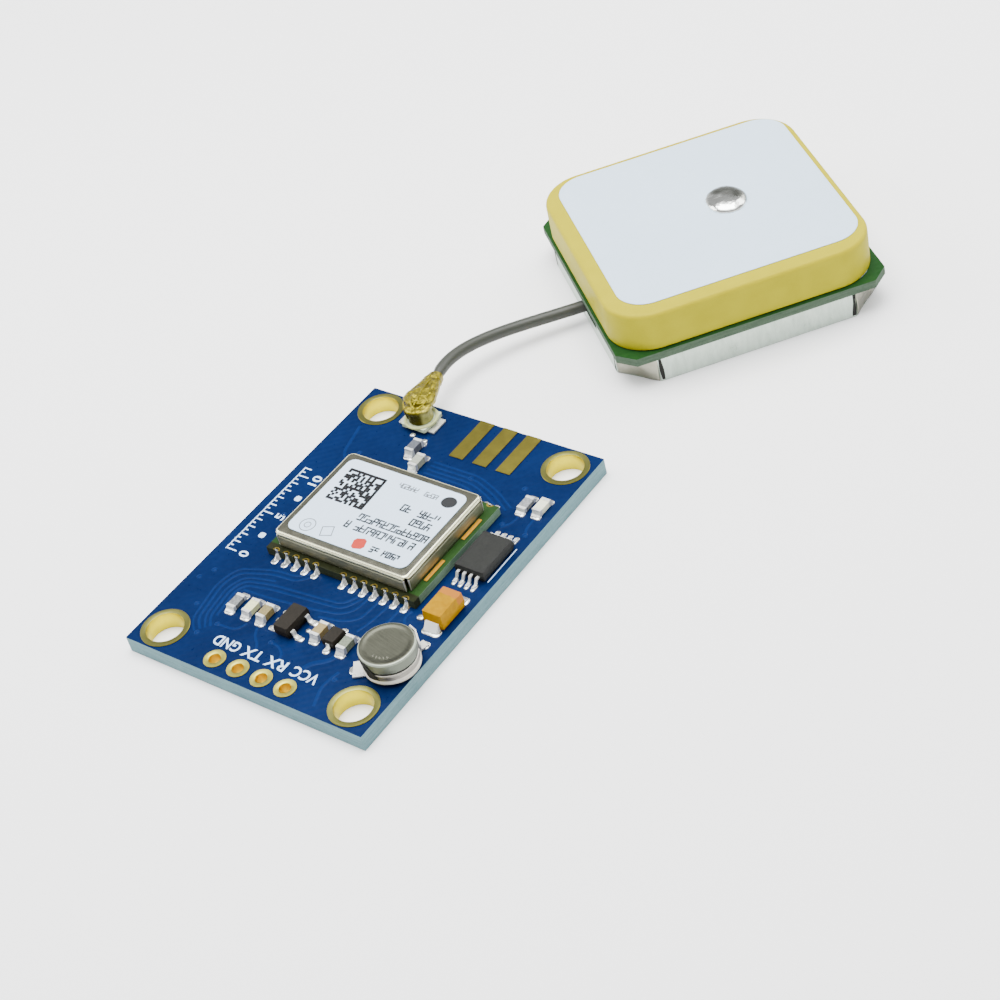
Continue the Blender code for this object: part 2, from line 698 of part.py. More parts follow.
def make_module_label(parent):
    mesh = bmesh.new()
    slab(mesh, rounded_rect(COVER_X - 2 * LABEL_MARGIN, COVER_Y - 2 * LABEL_MARGIN, LABEL_R, 4), 0.0, LABEL_T)
    label = piece("module_label", mesh, "label_film")
    place(label, 0.0, COVER_SHIFT_Y, COVER_Z0 + COVER_H + FIT, parent=parent)


def make_ground_strips(parent):
    x = COVER_X / 2 + STRIP_GAP + STRIP_W / 2
    for index, y in enumerate(STRIP_YS):
        mesh = bmesh.new()
        slab(mesh, rounded_rect(STRIP_W, STRIP_L, SHARP_R, 1), 0.0, COPPER_T)
        strip = piece("ground_strip_" + str(index + 1), mesh, "gold_plating")
        place(strip, x, y, MODULE_T + FIT, parent=parent)


def make_block(name, size, at, height, look, parent):
    """A small soft-edged block standing at a height."""
    mesh = bmesh.new()
    soft_block(mesh, size)
    place(piece(name, mesh, look), at[0], at[1], height, parent=parent)


def make_module():
    module = stand("module_frame", MODULE_AT_X, MODULE_AT_Y, SEAT_Z)
    make_module_board(module)
    make_module_cover(module)
    make_module_label(module)
    make_ground_strips(module)
    low = MODULE_T + FIT
    make_block("receiver_chip", RECEIVER_SIZE, RECEIVER_AT, low, "chip_black", module)
    make_block("reference_oscillator", OSCILLATOR_SIZE, OSCILLATOR_AT, low, "cell_steel", module)
    make_block("receiver_filter", FILTER_SIZE, FILTER_AT, low, "chip_grey", module)


# Coax socket
def make_socket_shell(parent):
    """A flat flange with two solder tabs and the upright ring that the plug snaps over."""
    steps = HOLE_STEPS
    mesh = bmesh.new()
    slab(mesh, rounded_rect(SOCKET_BASE + 2 * SOCKET_TAB_OUT, SOCKET_TAB_W, SOFT_R, 1), 0.0, SOCKET_FLANGE_T)
    shell = piece("socket_shell", mesh, "bright_tin")
    ring = bmesh.new()
    revolve(ring, [(SOCKET_RING_R, SOCKET_FLANGE_T / 2), (SOCKET_RING_R, RING_Z1)], steps)
    combine(shell, ring, "UNION")
    bore = bmesh.new()
    inner_r = SOCKET_RING_R - SOCKET_RING_WALL
    revolve(bore, [(inner_r, -CUT_OVER), (inner_r, RING_Z1 + CUT_OVER)], steps)
    combine(shell, bore, "DIFFERENCE")
    smooth_over(shell, 40)
    place(shell, parent=parent)


def make_socket_base(parent):
    mesh = bmesh.new()
    slab(mesh, rounded_rect(SOCKET_BASE, SOCKET_BASE, SOCKET_BASE_R, 1), SOCKET_BASE_Z0, SOCKET_BASE_Z1)
    base = piece("socket_base", mesh, "socket_plastic")
    bore = bmesh.new()
    bore_r = SOCKET_RING_R + FIT
    revolve(bore, [(bore_r, -CUT_OVER), (bore_r, SOCKET_BASE_Z1 + CUT_OVER)], HOLE_STEPS)
    combine(base, bore, "DIFFERENCE")
    place(base, parent=parent)


def make_socket_pin(parent):
    profile = [
        (SOCKET_PIN_FOOT_R, 0.0),
        (SOCKET_PIN_FOOT_R, SOCKET_FLANGE_T),
        (SOCKET_PIN_R, SOCKET_FLANGE_T + FIT),
        (SOCKET_PIN_R, PIN_Z1 - SOCKET_PIN_R / 2),
        (SOCKET_PIN_R / 2, PIN_Z1),
    ]
    mesh = bmesh.new()
    revolve(mesh, profile, 12)
    pin = piece("socket_pin", mesh, "contact_gold")
    smooth_over(pin, 40)
    place(pin, parent=parent)


# Coax plug
def crimp_section(along, side, width, height):
    """One cross-section of the crimp barrel: an upright octagon across the plug's long axis."""
    outline = rounded_rect(width, height, CRIMP_CORNER, 1)
    return [Vector((along, side + y, LEAD_START_Z + z)) for y, z in outline]


def make_plug_shell(parent):
    """A cap over the socket's ring that runs on into a barrel crimped around the lead."""
    inner_r = PLUG_R - PLUG_WALL
    profile = [
        (inner_r, PLUG_ROOM_Z1),
        (inner_r, PLUG_Z0),
        (PLUG_R, PLUG_Z0),
        (PLUG_R, PLUG_Z1 - PLUG_CHAMFER),
        (PLUG_R - PLUG_CHAMFER, PLUG_Z1),
    ]
    mesh = bmesh.new()
    revolve(mesh, profile, HOLE_STEPS)
    shell = piece("plug_shell", mesh, "contact_gold")
    sections = [
        (inner_r + SOFT_R, CRIMP_BOW / 2, CRIMP_ROOT_W, CRIMP_H - 2 * SOFT_R),
        (CRIMP_SPREAD, CRIMP_BOW, CRIMP_W, CRIMP_H),
        (CRIMP_SHOULDER, CRIMP_BOW, CRIMP_W, CRIMP_H),
        (CRIMP_NECK, 0.0, CRIMP_END_W, CRIMP_END_H),
        (CRIMP_L, 0.0, CRIMP_END_W, CRIMP_END_H),
    ]
    barrel = bmesh.new()
    loft(barrel, [crimp_section(*section) for section in sections])
    combine(shell, barrel, "UNION")
    bore = bmesh.new()
    outline = circle(LEAD_R + FIT, 16)
    ends = (CRIMP_L - CRIMP_BORE_L, CRIMP_L + CUT_OVER)
    loft(bore, [[Vector((along, y, LEAD_START_Z + z)) for y, z in outline] for along in ends])
    combine(shell, bore, "DIFFERENCE")
    smooth_over(shell, 30)
    place(shell, parent=parent)


def make_plug_inside(parent):
    top = PLUG_ROOM_Z1 - FIT
    low = top - INSULATOR_T
    outer = PLUG_R - PLUG_WALL - FIT
    mesh = bmesh.new()
    revolve(mesh, [(outer, low), (outer, top)], 20)
    insulator = piece("plug_insulator", mesh, "white_insulator")
    smooth_over(insulator, 40)
    place(insulator, parent=parent)
    high = low - FIT
    inner = SOCKET_PIN_R + FIT
    outer = inner + CONTACT_WALL
    mesh = bmesh.new()
    revolve(mesh, [(inner, high - CONTACT_L), (outer, high - CONTACT_L), (outer, high), (inner, high)], 12, True)
    contact = piece("plug_contact", mesh, "contact_gold")
    smooth_over(contact, 40)
    place(contact, parent=parent)


def make_connector():
    socket = stand("socket_frame", SOCKET_AT_X, SOCKET_AT_Y, SEAT_Z)
    make_socket_shell(socket)
    make_socket_base(socket)
    make_socket_pin(socket)
    plug = stand("plug_frame", SOCKET_AT_X, SOCKET_AT_Y, SEAT_Z, PLUG_TURN)
    make_plug_shell(plug)
    make_plug_inside(plug)


# Coax lead
def lead_route():
    """Points along the lead: straight in the barrel, one smooth bow, straight into the shield."""
    plug = Matrix.Translation((SOCKET_AT_X, SOCKET_AT_Y, SEAT_Z)) @ Matrix.Rotation(PLUG_TURN, 4, "Z")
    antenna = turned_z(ANTENNA_AT_X, ANTENNA_AT_Y, ANTENNA_TURN)
    inside = plug @ Vector((CRIMP_L - CRIMP_BORE_L + FIT, 0.0, LEAD_START_Z))
    start = plug @ Vector((CRIMP_L, 0.0, LEAD_START_Z))
    way_out = Vector((math.cos(LEAD_START_TURN), math.sin(LEAD_START_TURN), 0.0))
    end = antenna @ Vector((-SHIELD_SIZE / 2, LEAD_ENTRY_Y, LEAD_ENTRY_Z))
    tail = antenna @ Vector((-SHIELD_SIZE / 2 + LEAD_TAIL, LEAD_ENTRY_Y, LEAD_ENTRY_Z))
    way_in = (tail - end).normalized()
    pull_0 = start + way_out * LEAD_START_PULL
    pull_1 = end - way_in * LEAD_END_PULL
    count = max(LEAD_POINTS_MIN, round((end - start).length / LEAD_STEP))
    route = [inside]
    for index in range(count + 1):
        t = index / count
        s = 1 - t
        route.append(start * s ** 3 + pull_0 * (3 * s * s * t) + pull_1 * (3 * s * t * t) + end * t ** 3)
    route.append(tail)
    return route


def make_lead():
    curve = bpy.data.curves.new("coax_lead", "CURVE")
    curve.dimensions = "3D"
    curve.bevel_depth = LEAD_R
    curve.bevel_resolution = 2
    curve.use_fill_caps = True
    points = lead_route()
    spline = curve.splines.new("POLY")
    spline.points.add(len(points) - 1)
    for target, point in zip(spline.points, points):
        target.co = (*point, 1.0)
    curve.materials.append(material("coax_lead", "lead_jacket"))
    lead = bpy.data.objects.new("coax_lead", curve)
    bpy.context.scene.collection.objects.link(lead)


# Leaded chips
def make_leaded_chip(name, size, leads_out, lead_w, plus_leads, minus_leads):
    """A moulded body with bent sheet leads out of its local +Y and -Y sides, seated on z = 0."""
    size_x, size_y, height = size
    low = CHIP_STANDOFF
    middle = low + height / 2
    small = rounded_rect(size_x - 2 * CHIP_DRAFT, size_y - 2 * CHIP_DRAFT, SOFT_R, 1)
    full = rounded_rect(size_x, size_y, SOFT_R, 1)
    mesh = bmesh.new()
    loft(mesh, [
        lift(small, low),
        lift(full, middle - LEAD_T),
        lift(full, middle + LEAD_T),
        lift(small, low + height),
    ])
    chip = piece(name, mesh, "chip_black")
    foot = LEAD_T / 2
    reach = size_y / 2 + leads_out
    bend = reach - LEAD_FOOT
    path = [
        (size_y / 2 - LEAD_IN_BODY, middle),
        ((size_y / 2 + bend) / 2, middle),
        (bend, foot),
        (reach, foot),
    ]
    leads = bmesh.new()
    for row, way in ((plus_leads, 1), (minus_leads, -1)):
        for x in row:
            bent_strip(leads, path, LEAD_T, lead_w, turned_z(x, 0.0, way * math.radians(90.0)))
    combine(chip, leads, "UNION")
    return chip


def make_memory_chip():
    four = spread(4, MEMORY_LEAD_PITCH)
    size = (MEMORY_W, MEMORY_L, MEMORY_H)
    chip = make_leaded_chip("memory_chip", size, MEMORY_LEADS_OUT, MEMORY_LEAD_W, four, four)
    place(chip, MEMORY_AT_X, MEMORY_AT_Y, SEAT_Z)


# Tantalum capacitor
def make_tantalum():
    """A moulded block with a flat terminal and its solder wedge at each end."""
    low = CHIP_STANDOFF
    small = rounded_rect(TANTALUM_W - 2 * CHIP_DRAFT, TANTALUM_L - 2 * CHIP_DRAFT, SOFT_R, 1)
    full = rounded_rect(TANTALUM_W, TANTALUM_L, SOFT_R, 1)
    mesh = bmesh.new()
    loft(mesh, [lift(small, low), lift(full, low + TANTALUM_BELT), lift(small, low + TANTALUM_H)])
    body = piece("tantalum_capacitor", mesh, "tantalum_yellow")
    end = TANTALUM_L / 2
    outline = [
        (end - TANTALUM_FOOT_IN, 0.0),
        (end + TANTALUM_SOLDER, 0.0),
        (end + TANTALUM_SOLDER, TANTALUM_FOOT_H),
        (end + TANTALUM_SOLDER_T, TANTALUM_SOLDER_H),
        (end - TANTALUM_SOLDER_T, TANTALUM_SOLDER_H),
        (end - TANTALUM_FOOT_IN, low + TANTALUM_FOOT_H),
    ]
    half = TANTALUM_FOOT_W / 2
    feet = bmesh.new()
    for way in (1, -1):
        side = Matrix.Rotation(way * math.radians(90.0), 4, "Z")
        loft(feet, [[side @ Vector((x, y, z)) for x, z in outline] for y in (-half, half)])
    combine(body, feet, "UNION")
    place(body, TANTALUM_AT_X, TANTALUM_AT_Y, SEAT_Z)


# Backup cell
def turned_piece(name, profile, look, parent):
    mesh = bmesh.new()
    revolve(mesh, profile, CELL_STEPS)
    made = piece(name, mesh, look)
    smooth_over(made, 35)
    place(made, parent=parent)


def make_cell():
    """The can, its gasket and its cap, on a near tab below and a far tab bent up to the cap."""
    cell = stand("cell_frame", CELL_AT_X, CELL_AT_Y, SEAT_Z)
    edge = CELL_EDGE_R
    corner = CELL_CORNER
    can_z1 = CELL_CAN_Z0 + CELL_CAN_H
    turned_piece("cell_can", [
        (CELL_R - edge, CELL_CAN_Z0),
        (CELL_R - corner, CELL_CAN_Z0 + corner),
        (CELL_R, CELL_CAN_Z0 + edge),
        (CELL_R, can_z1 - corner),
        (CELL_R - corner, can_z1),
    ], "cell_steel", cell)
    groove_r = CELL_R - CELL_GASKET_IN
    turned_piece("cell_gasket", [
        (groove_r, CELL_GASKET_Z0),
        (groove_r, CELL_GASKET_Z0 + CELL_GASKET_H),
    ], "gasket_black", cell)
    cap_z1 = CELL_CAP_Z0 + CELL_CAP_H
    rim_r = CELL_R - edge - CELL_RIM_W
    turned_piece("cell_cap", [
        (CELL_R - corner, CELL_CAP_Z0),
        (CELL_R, CELL_CAP_Z0 + corner),
        (CELL_R, cap_z1 - edge),
        (CELL_R - corner, cap_z1 - corner),
        (CELL_R - edge, cap_z1),
        (rim_r, cap_z1),
        (rim_r - CELL_DISH_W, cap_z1 - CELL_DISH_DEPTH),
    ], "cell_steel", cell)
    middle = CELL_TAB_T / 2
    reach = CELL_R + CELL_TAB_OUT
    mesh = bmesh.new()
    path = [(CELL_R - CELL_TAB_UNDER, middle), (reach, middle)]
    bent_strip(mesh, path, CELL_TAB_T, CELL_TAB_W, Matrix.Identity(4))
    place(piece("cell_tab_near", mesh, "bright_tin"), turn=CELL_NEAR_TURN, parent=cell)
    rise = CELL_R + FIT + CELL_TAB_T / 2
    mesh = bmesh.new()
    path = [(reach, middle), (rise, middle), (rise, CELL_FAR_TAB_H)]
    bent_strip(mesh, path, CELL_TAB_T, CELL_FAR_TAB_W, Matrix.Identity(4))
    place(piece("cell_tab_far", mesh, "bright_tin"), turn=CELL_FAR_TURN, parent=cell)


# Two-ended chip parts
def make_chip_part(name, height, look, x, y):
    """A chip with raised terminals and a solder wedge at each end, cut from one side profile."""
    half = CHIP_L / 2
    inner = half - CHIP_TERMINAL
    side = [
        (half, height),
        (half, CHIP_SOLDER_RISE * height),
        (half + CHIP_SOLDER_BEND, 0.3 * height),
        (half + CHIP_SOLDER, CHIP_LIP),
        (half + CHIP_SOLDER, 0.0),
        (inner, 0.0),
        (inner, CHIP_LIP),
    ]
    mirrored = [(-along, up) for along, up in reversed(side)]
    top = [(-inner, height), (-inner, height - CHIP_LIP), (inner, height - CHIP_LIP), (inner, height)]
    outline = side + mirrored + top
    mesh = bmesh.new()
    loft(mesh, [[Vector((across, along, up)) for along, up in outline] for across in (-CHIP_W / 2, CHIP_W / 2)])
    place(piece(name, mesh, look), x, y, SEAT_Z)


def make_row():
    """The row between the module and the header, each part a gap away from the one before it."""
    three = spread(3, REGULATOR_LEAD_PITCH)
    size = (REGULATOR_W, REGULATOR_L, REGULATOR_H)
    regulator = make_leaded_chip("voltage_regulator", size, REGULATOR_LEADS_OUT, REGULATOR_LEAD_W,
                                 three, three[::2])
    place(regulator, 0.0, ROW_Y + REGULATOR_RISE, SEAT_Z, math.radians(90.0))

    x = -REGULATOR_REACH - ROW_GAP_CAPACITOR_1 - CHIP_W / 2
    make_chip_part("capacitor_1", CAPACITOR_H, "capacitor_tan", x, ROW_Y)
    x -= CHIP_W + ROW_GAP_LED_1
    make_chip_part("led_1", LED_H, "led_white", x, ROW_Y)
    x -= CHIP_W + ROW_GAP_RESISTOR_1
    make_chip_part("resistor_1", RESISTOR_H, "chip_grey", x, ROW_Y)

    x = REGULATOR_REACH + ROW_GAP_CAPACITOR_2 + CHIP_W / 2
    make_chip_part("capacitor_2", CAPACITOR_H, "capacitor_tan", x, ROW_Y + CAPACITOR_2_RISE)
    x += CHIP_W / 2 + ROW_GAP_DIODE + DIODE_W / 2
    size = (DIODE_W, DIODE_L, DIODE_H)
    diode = make_leaded_chip("diode", size, DIODE_LEADS_OUT, DIODE_LEAD_W, [0.0], [0.0])
    place(diode, x, ROW_Y + DIODE_RISE, SEAT_Z)
    x += DIODE_W / 2 + ROW_GAP_CAPACITOR_3 + CHIP_W / 2
    make_chip_part("capacitor_3", CAPACITOR_H, "capacitor_tan", x, ROW_Y + CAPACITOR_3_RISE)


def make_far_chips():
    """The chip parts between the module and the far end."""
    module_end = MODULE_AT_Y + MODULE_Y / 2 + JOINT_FOOT_OUT
    y = module_end + CAPACITOR_4_TO_MODULE + CHIP_REACH
    make_chip_part("capacitor_4", CAPACITOR_H, "capacitor_tan", SOCKET_AT_X + CAPACITOR_4_FROM_SOCKET, y)
    y = module_end + INDUCTOR_TO_MODULE + CHIP_REACH
    make_chip_part("inductor", INDUCTOR_H, "inductor_dark", SOCKET_AT_X + INDUCTOR_FROM_SOCKET, y)
    memory_end = MEMORY_AT_Y + MEMORY_REACH
    x = BOARD_X / 2 - LED_2_TO_SIDE
    make_chip_part("led_2", LED_H, "led_white", x, memory_end + LED_2_TO_MEMORY + CHIP_REACH)
    x -= CHIP_W + RESISTOR_2_TO_LED_2
    make_chip_part("resistor_2", RESISTOR_H, "chip_grey", x, memory_end + RESISTOR_2_TO_MEMORY + CHIP_REACH)


# Antenna
def feed_bore(thing, top):
    """Cut the feed pin's hole through a piece of the antenna's stack."""
    bore = bmesh.new()
    outline = circle(FEED_PIN_R + FEED_HOLE_SLACK, 16)
    loft(bore, [lift(outline, height, FEED_AT) for height in (-CUT_OVER, top + CUT_OVER)])
    combine(thing, bore, "DIFFERENCE")


def make_shield(parent):
    """An open tray of folded sheet: eight walls on a floor, an open seam beside each corner wall."""
    outer = rounded_rect(SHIELD_SIZE, SHIELD_SIZE, SHIELD_CHAMFER, 1)
    inner_size = SHIELD_SIZE - 2 * SHIELD_SHEET
    inner = rounded_rect(inner_size, inner_size, SHIELD_CHAMFER - SHIELD_SHEET * (2 - math.sqrt(2)), 1)
    mesh = bmesh.new()
    loft(mesh, [lift(inner, SHIELD_SHEET), lift(inner, SHIELD_H), lift(outer, SHIELD_H), lift(outer, 0.0)])
    shield = piece("antenna_shield", mesh, "shield_sheet")
    cutters = bmesh.new()
    half = SHIELD_SIZE / 2
    seam_h = SHIELD_H - SHIELD_SHEET - SHIELD_SEAM_LEFT + CUT_OVER
    seam_z = SHIELD_H + CUT_OVER - seam_h / 2
    for quarter in range(4):
        for side in (-1, 1):
            along = side * (half - SHIELD_CHAMFER - SHIELD_SEAM)
            turn = Matrix.Rotation(math.radians(90.0) * quarter, 4, "Z")
            box(cutters, (6 * SHIELD_SHEET, SHIELD_SEAM, seam_h), turn @ Matrix.Translation((half, along, seam_z)))
    notch_h = SHIELD_NOTCH_H + CUT_OVER
    middle = Matrix.Translation((-half, SHIELD_NOTCH_MID, SHIELD_H + CUT_OVER - notch_h / 2))
    box(cutters, (6 * SHIELD_SHEET, SHIELD_NOTCH_W, notch_h), middle)
    combine(shield, cutters, "DIFFERENCE")
    place(shield, parent=parent)


def make_antenna_board(parent):
    mesh = bmesh.new()
    outline = rounded_rect(ANTENNA_BOARD_SIZE, ANTENNA_BOARD_SIZE, ANTENNA_BOARD_CHAMFER, 1)
    slab(mesh, outline, 0.0, ANTENNA_BOARD_T)
    board = piece("antenna_board", mesh, "antenna_laminate")
    feed_bore(board, ANTENNA_BOARD_T)
    place(board, z=ANTENNA_BOARD_Z0, parent=parent)


def make_ceramic(parent):
    """The pressed tile: a small broken edge at its foot, a round one at its top, round corners."""
    levels = [(CERAMIC_FOOT_R, 0.0), (0.0, CERAMIC_FOOT_R)]
    for step in range(5):
        turn = math.radians(22.5) * step
        inset = CERAMIC_TOP_R * (1 - math.cos(turn))
        levels.append((inset, CERAMIC_T - CERAMIC_TOP_R * (1 - math.sin(turn))))
    mesh = bmesh.new()
    loft(mesh, [
        lift(rounded_rect(CERAMIC_X - 2 * inset, CERAMIC_Y - 2 * inset, CERAMIC_CORNER_R - inset, 8), height)
        for inset, height in levels
    ])
    tile = piece("antenna_ceramic", mesh, "ceramic_cream")
    feed_bore(tile, CERAMIC_T)
    smooth_over(tile, 30)
    place(tile, z=CERAMIC_Z0, parent=parent)


def make_silver_layers(parent):
    """The electrode on the tile and the ground layer under it."""
    mesh = bmesh.new()
    outline = rounded_rect(CERAMIC_X - 2 * ELECTRODE_IN_X, CERAMIC_Y - 2 * ELECTRODE_IN_Y, ELECTRODE_R, 6)
    loft(mesh, [lift(outline, height, ELECTRODE_SHIFT) for height in (0.0, COPPER_T)])
    electrode = piece("antenna_electrode", mesh, "electrode_silver")
    feed_bore(electrode, COPPER_T)
    place(electrode, z=ELECTRODE_Z0, parent=parent)
    mesh = bmesh.new()
    inset = 2 * GROUND_LAYER_IN
    slab(mesh, rounded_rect(CERAMIC_X - inset, CERAMIC_Y - inset, CERAMIC_CORNER_R, 6), 0.0, GROUND_LAYER_T)
    ground = piece("antenna_ground_layer", mesh, "electrode_silver")
    feed_bore(ground, GROUND_LAYER_T)
    place(ground, z=GROUND_Z0, parent=parent)


def make_feed_pin(parent):
    """A straight pin with a low solder dome over the electrode and a blunt tail below the board."""
    low = ANTENNA_BOARD_Z0 - FEED_TAIL
    profile = [
        (FEED_PIN_R - FEED_TIP, low),
        (FEED_PIN_R, low + FEED_TIP),
        (FEED_PIN_R, FEED_DOME_Z0),
        (FEED_DOME_R, FEED_DOME_Z0),
    ]
    for step in range(1, 5):
        turn = math.radians(20.0) * step
        profile.append((FEED_DOME_R * math.cos(turn), FEED_DOME_Z0 + FEED_DOME_H * math.sin(turn)))
    mesh = bmesh.new()
    revolve(mesh, profile, 16)
    pin = piece("antenna_feed_pin", mesh, "feed_solder")
    smooth_over(pin, 40)
    place(pin, *FEED_AT, parent=parent)


def make_antenna():
    antenna = stand("antenna_frame", ANTENNA_AT_X, ANTENNA_AT_Y, 0.0, ANTENNA_TURN)
    make_shield(antenna)
    make_antenna_board(antenna)
    make_ceramic(antenna)
    make_silver_layers(antenna)
    make_feed_pin(antenna)
    under = ANTENNA_BOARD_Z0 - FIT
    make_block("amplifier_chip", AMPLIFIER_SIZE, AMPLIFIER_AT, under - AMPLIFIER_SIZE[2], "chip_black", antenna)
    make_block("antenna_filter", ANTENNA_FILTER_SIZE, ANTENNA_FILTER_AT, under - ANTENNA_FILTER_SIZE[2],
               "cell_steel", antenna)


make_board()
make_plated_holes()
make_edge_pads()
make_module()
make_connector()
make_lead()
make_memory_chip()
make_tantalum()
make_cell()
make_row()
make_far_chips()
make_antenna()
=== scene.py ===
# %% [markdown]
# # A GPS receiver board with its patch antenna
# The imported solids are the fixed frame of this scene: a blue carrier board with a shielded
# receiver module, and a square ceramic antenna on a short coax lead. Each lesson cell says what
# a piece is on the real object, how it could be made, and why this way was chosen. New surfaces
# are worked out with numpy as whole arrays, and all finishes are procedural.

# %% Load the frame
import math

import bpy
import numpy as np
from mathutils import Matrix, Vector


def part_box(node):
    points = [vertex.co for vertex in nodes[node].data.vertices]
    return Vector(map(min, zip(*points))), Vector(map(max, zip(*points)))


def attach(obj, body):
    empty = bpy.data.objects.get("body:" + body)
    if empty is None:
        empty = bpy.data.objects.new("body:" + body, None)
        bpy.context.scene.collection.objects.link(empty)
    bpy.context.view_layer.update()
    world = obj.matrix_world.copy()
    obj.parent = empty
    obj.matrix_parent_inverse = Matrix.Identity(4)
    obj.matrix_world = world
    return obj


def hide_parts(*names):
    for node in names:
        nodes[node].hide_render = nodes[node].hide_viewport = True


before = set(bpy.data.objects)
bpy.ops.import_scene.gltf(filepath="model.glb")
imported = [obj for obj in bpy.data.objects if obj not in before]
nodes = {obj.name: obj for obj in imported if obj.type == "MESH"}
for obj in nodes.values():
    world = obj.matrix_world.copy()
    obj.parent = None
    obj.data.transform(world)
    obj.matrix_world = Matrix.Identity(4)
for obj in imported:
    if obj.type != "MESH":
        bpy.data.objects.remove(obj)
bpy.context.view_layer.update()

MM = 0.001
print("CAD nodes:", len(nodes))


def put(name, data):
    """Make an object of some data and link it to the scene."""
    made = bpy.data.objects.new(name, data)
    bpy.context.scene.collection.objects.link(made)
    return made


# %% [markdown]
# ## Camera
# The photograph was taken from above the board's near right side. The place, direction and
# focal length were found by fitting the board's corners, its holes and the antenna's corners,
# so they are written here as plain numbers in millimetres.

# %% Camera
SENSOR_WIDTH, LENS = 36.0, 76.39
CAMERA_AT = (103.05, -87.043, 119.172)
CAMERA_RIGHT = (0.8025, 0.56543, -0.19051)
CAMERA_UP = (-0.26768, 0.62653, 0.73199)
CAMERA_BACK = (0.53325, -0.53643, 0.65414)

camera_data = bpy.data.cameras.new("camera")
camera_data.sensor_width = SENSOR_WIDTH
camera_data.lens = LENS
camera_data.clip_start = 0.001
camera = put("camera", camera_data)
camera_turn = Matrix((CAMERA_RIGHT, CAMERA_UP, CAMERA_BACK)).transposed().to_4x4()
camera.matrix_world = Matrix.Translation(Vector(CAMERA_AT) * MM) @ camera_turn
bpy.context.scene.camera = camera
print("camera at", [round(c, 4) for c in camera.matrix_world.translation])

# %% [markdown]
# ## Shader maths as Python expressions
# A procedural finish is mostly arithmetic on the point's place. Dragging Math nodes by hand
# works, but a formula is easier to read as a formula, so `Wire` holds one output socket and
# its operators add the Math nodes. `Finish` holds one material and adds any other node.

# %% Shader maths
class Wire:
    """One output socket of a node; arithmetic on it adds Math nodes to the same finish."""

    def __init__(self, finish, socket):
        self.finish = finish
        self.socket = socket

    def math(self, operation, *values):
        """Add one Math node that works on wires and numbers."""
        return self.finish.node("ShaderNodeMath", {"operation": operation}, values)

    def __add__(self, other):
        return self.math("ADD", self, other)

    def __sub__(self, other):
        return self.math("SUBTRACT", self, other)

    def __mul__(self, other):
        return self.math("MULTIPLY", self, other)

    def __pow__(self, other):
        return self.math("POWER", self, other)

    def __gt__(self, other):
        return self.math("GREATER_THAN", self, other)

    def __rsub__(self, other):
        return self.math("SUBTRACT", other, self)

    def __neg__(self):
        return self.math("MULTIPLY", self, -1)

    def __abs__(self):
        return self.math("ABSOLUTE", self)

    def sine(self):
        """The sine of the value, as an angle in radians."""
        return self.math("SINE", self)

    def about(self, middle, spread):
        """Carry a value from 0 to 1 into a range of that spread about a middle."""
        return (self - 0.5) * spread + middle

    def between(self, low, high):
        """0 below low, 1 above high, and a smooth step between them."""
        return self.finish.node("ShaderNodeMapRange", {"interpolation_type": "SMOOTHSTEP"},
                                {"Value": self, "From Min": low, "From Max": high})


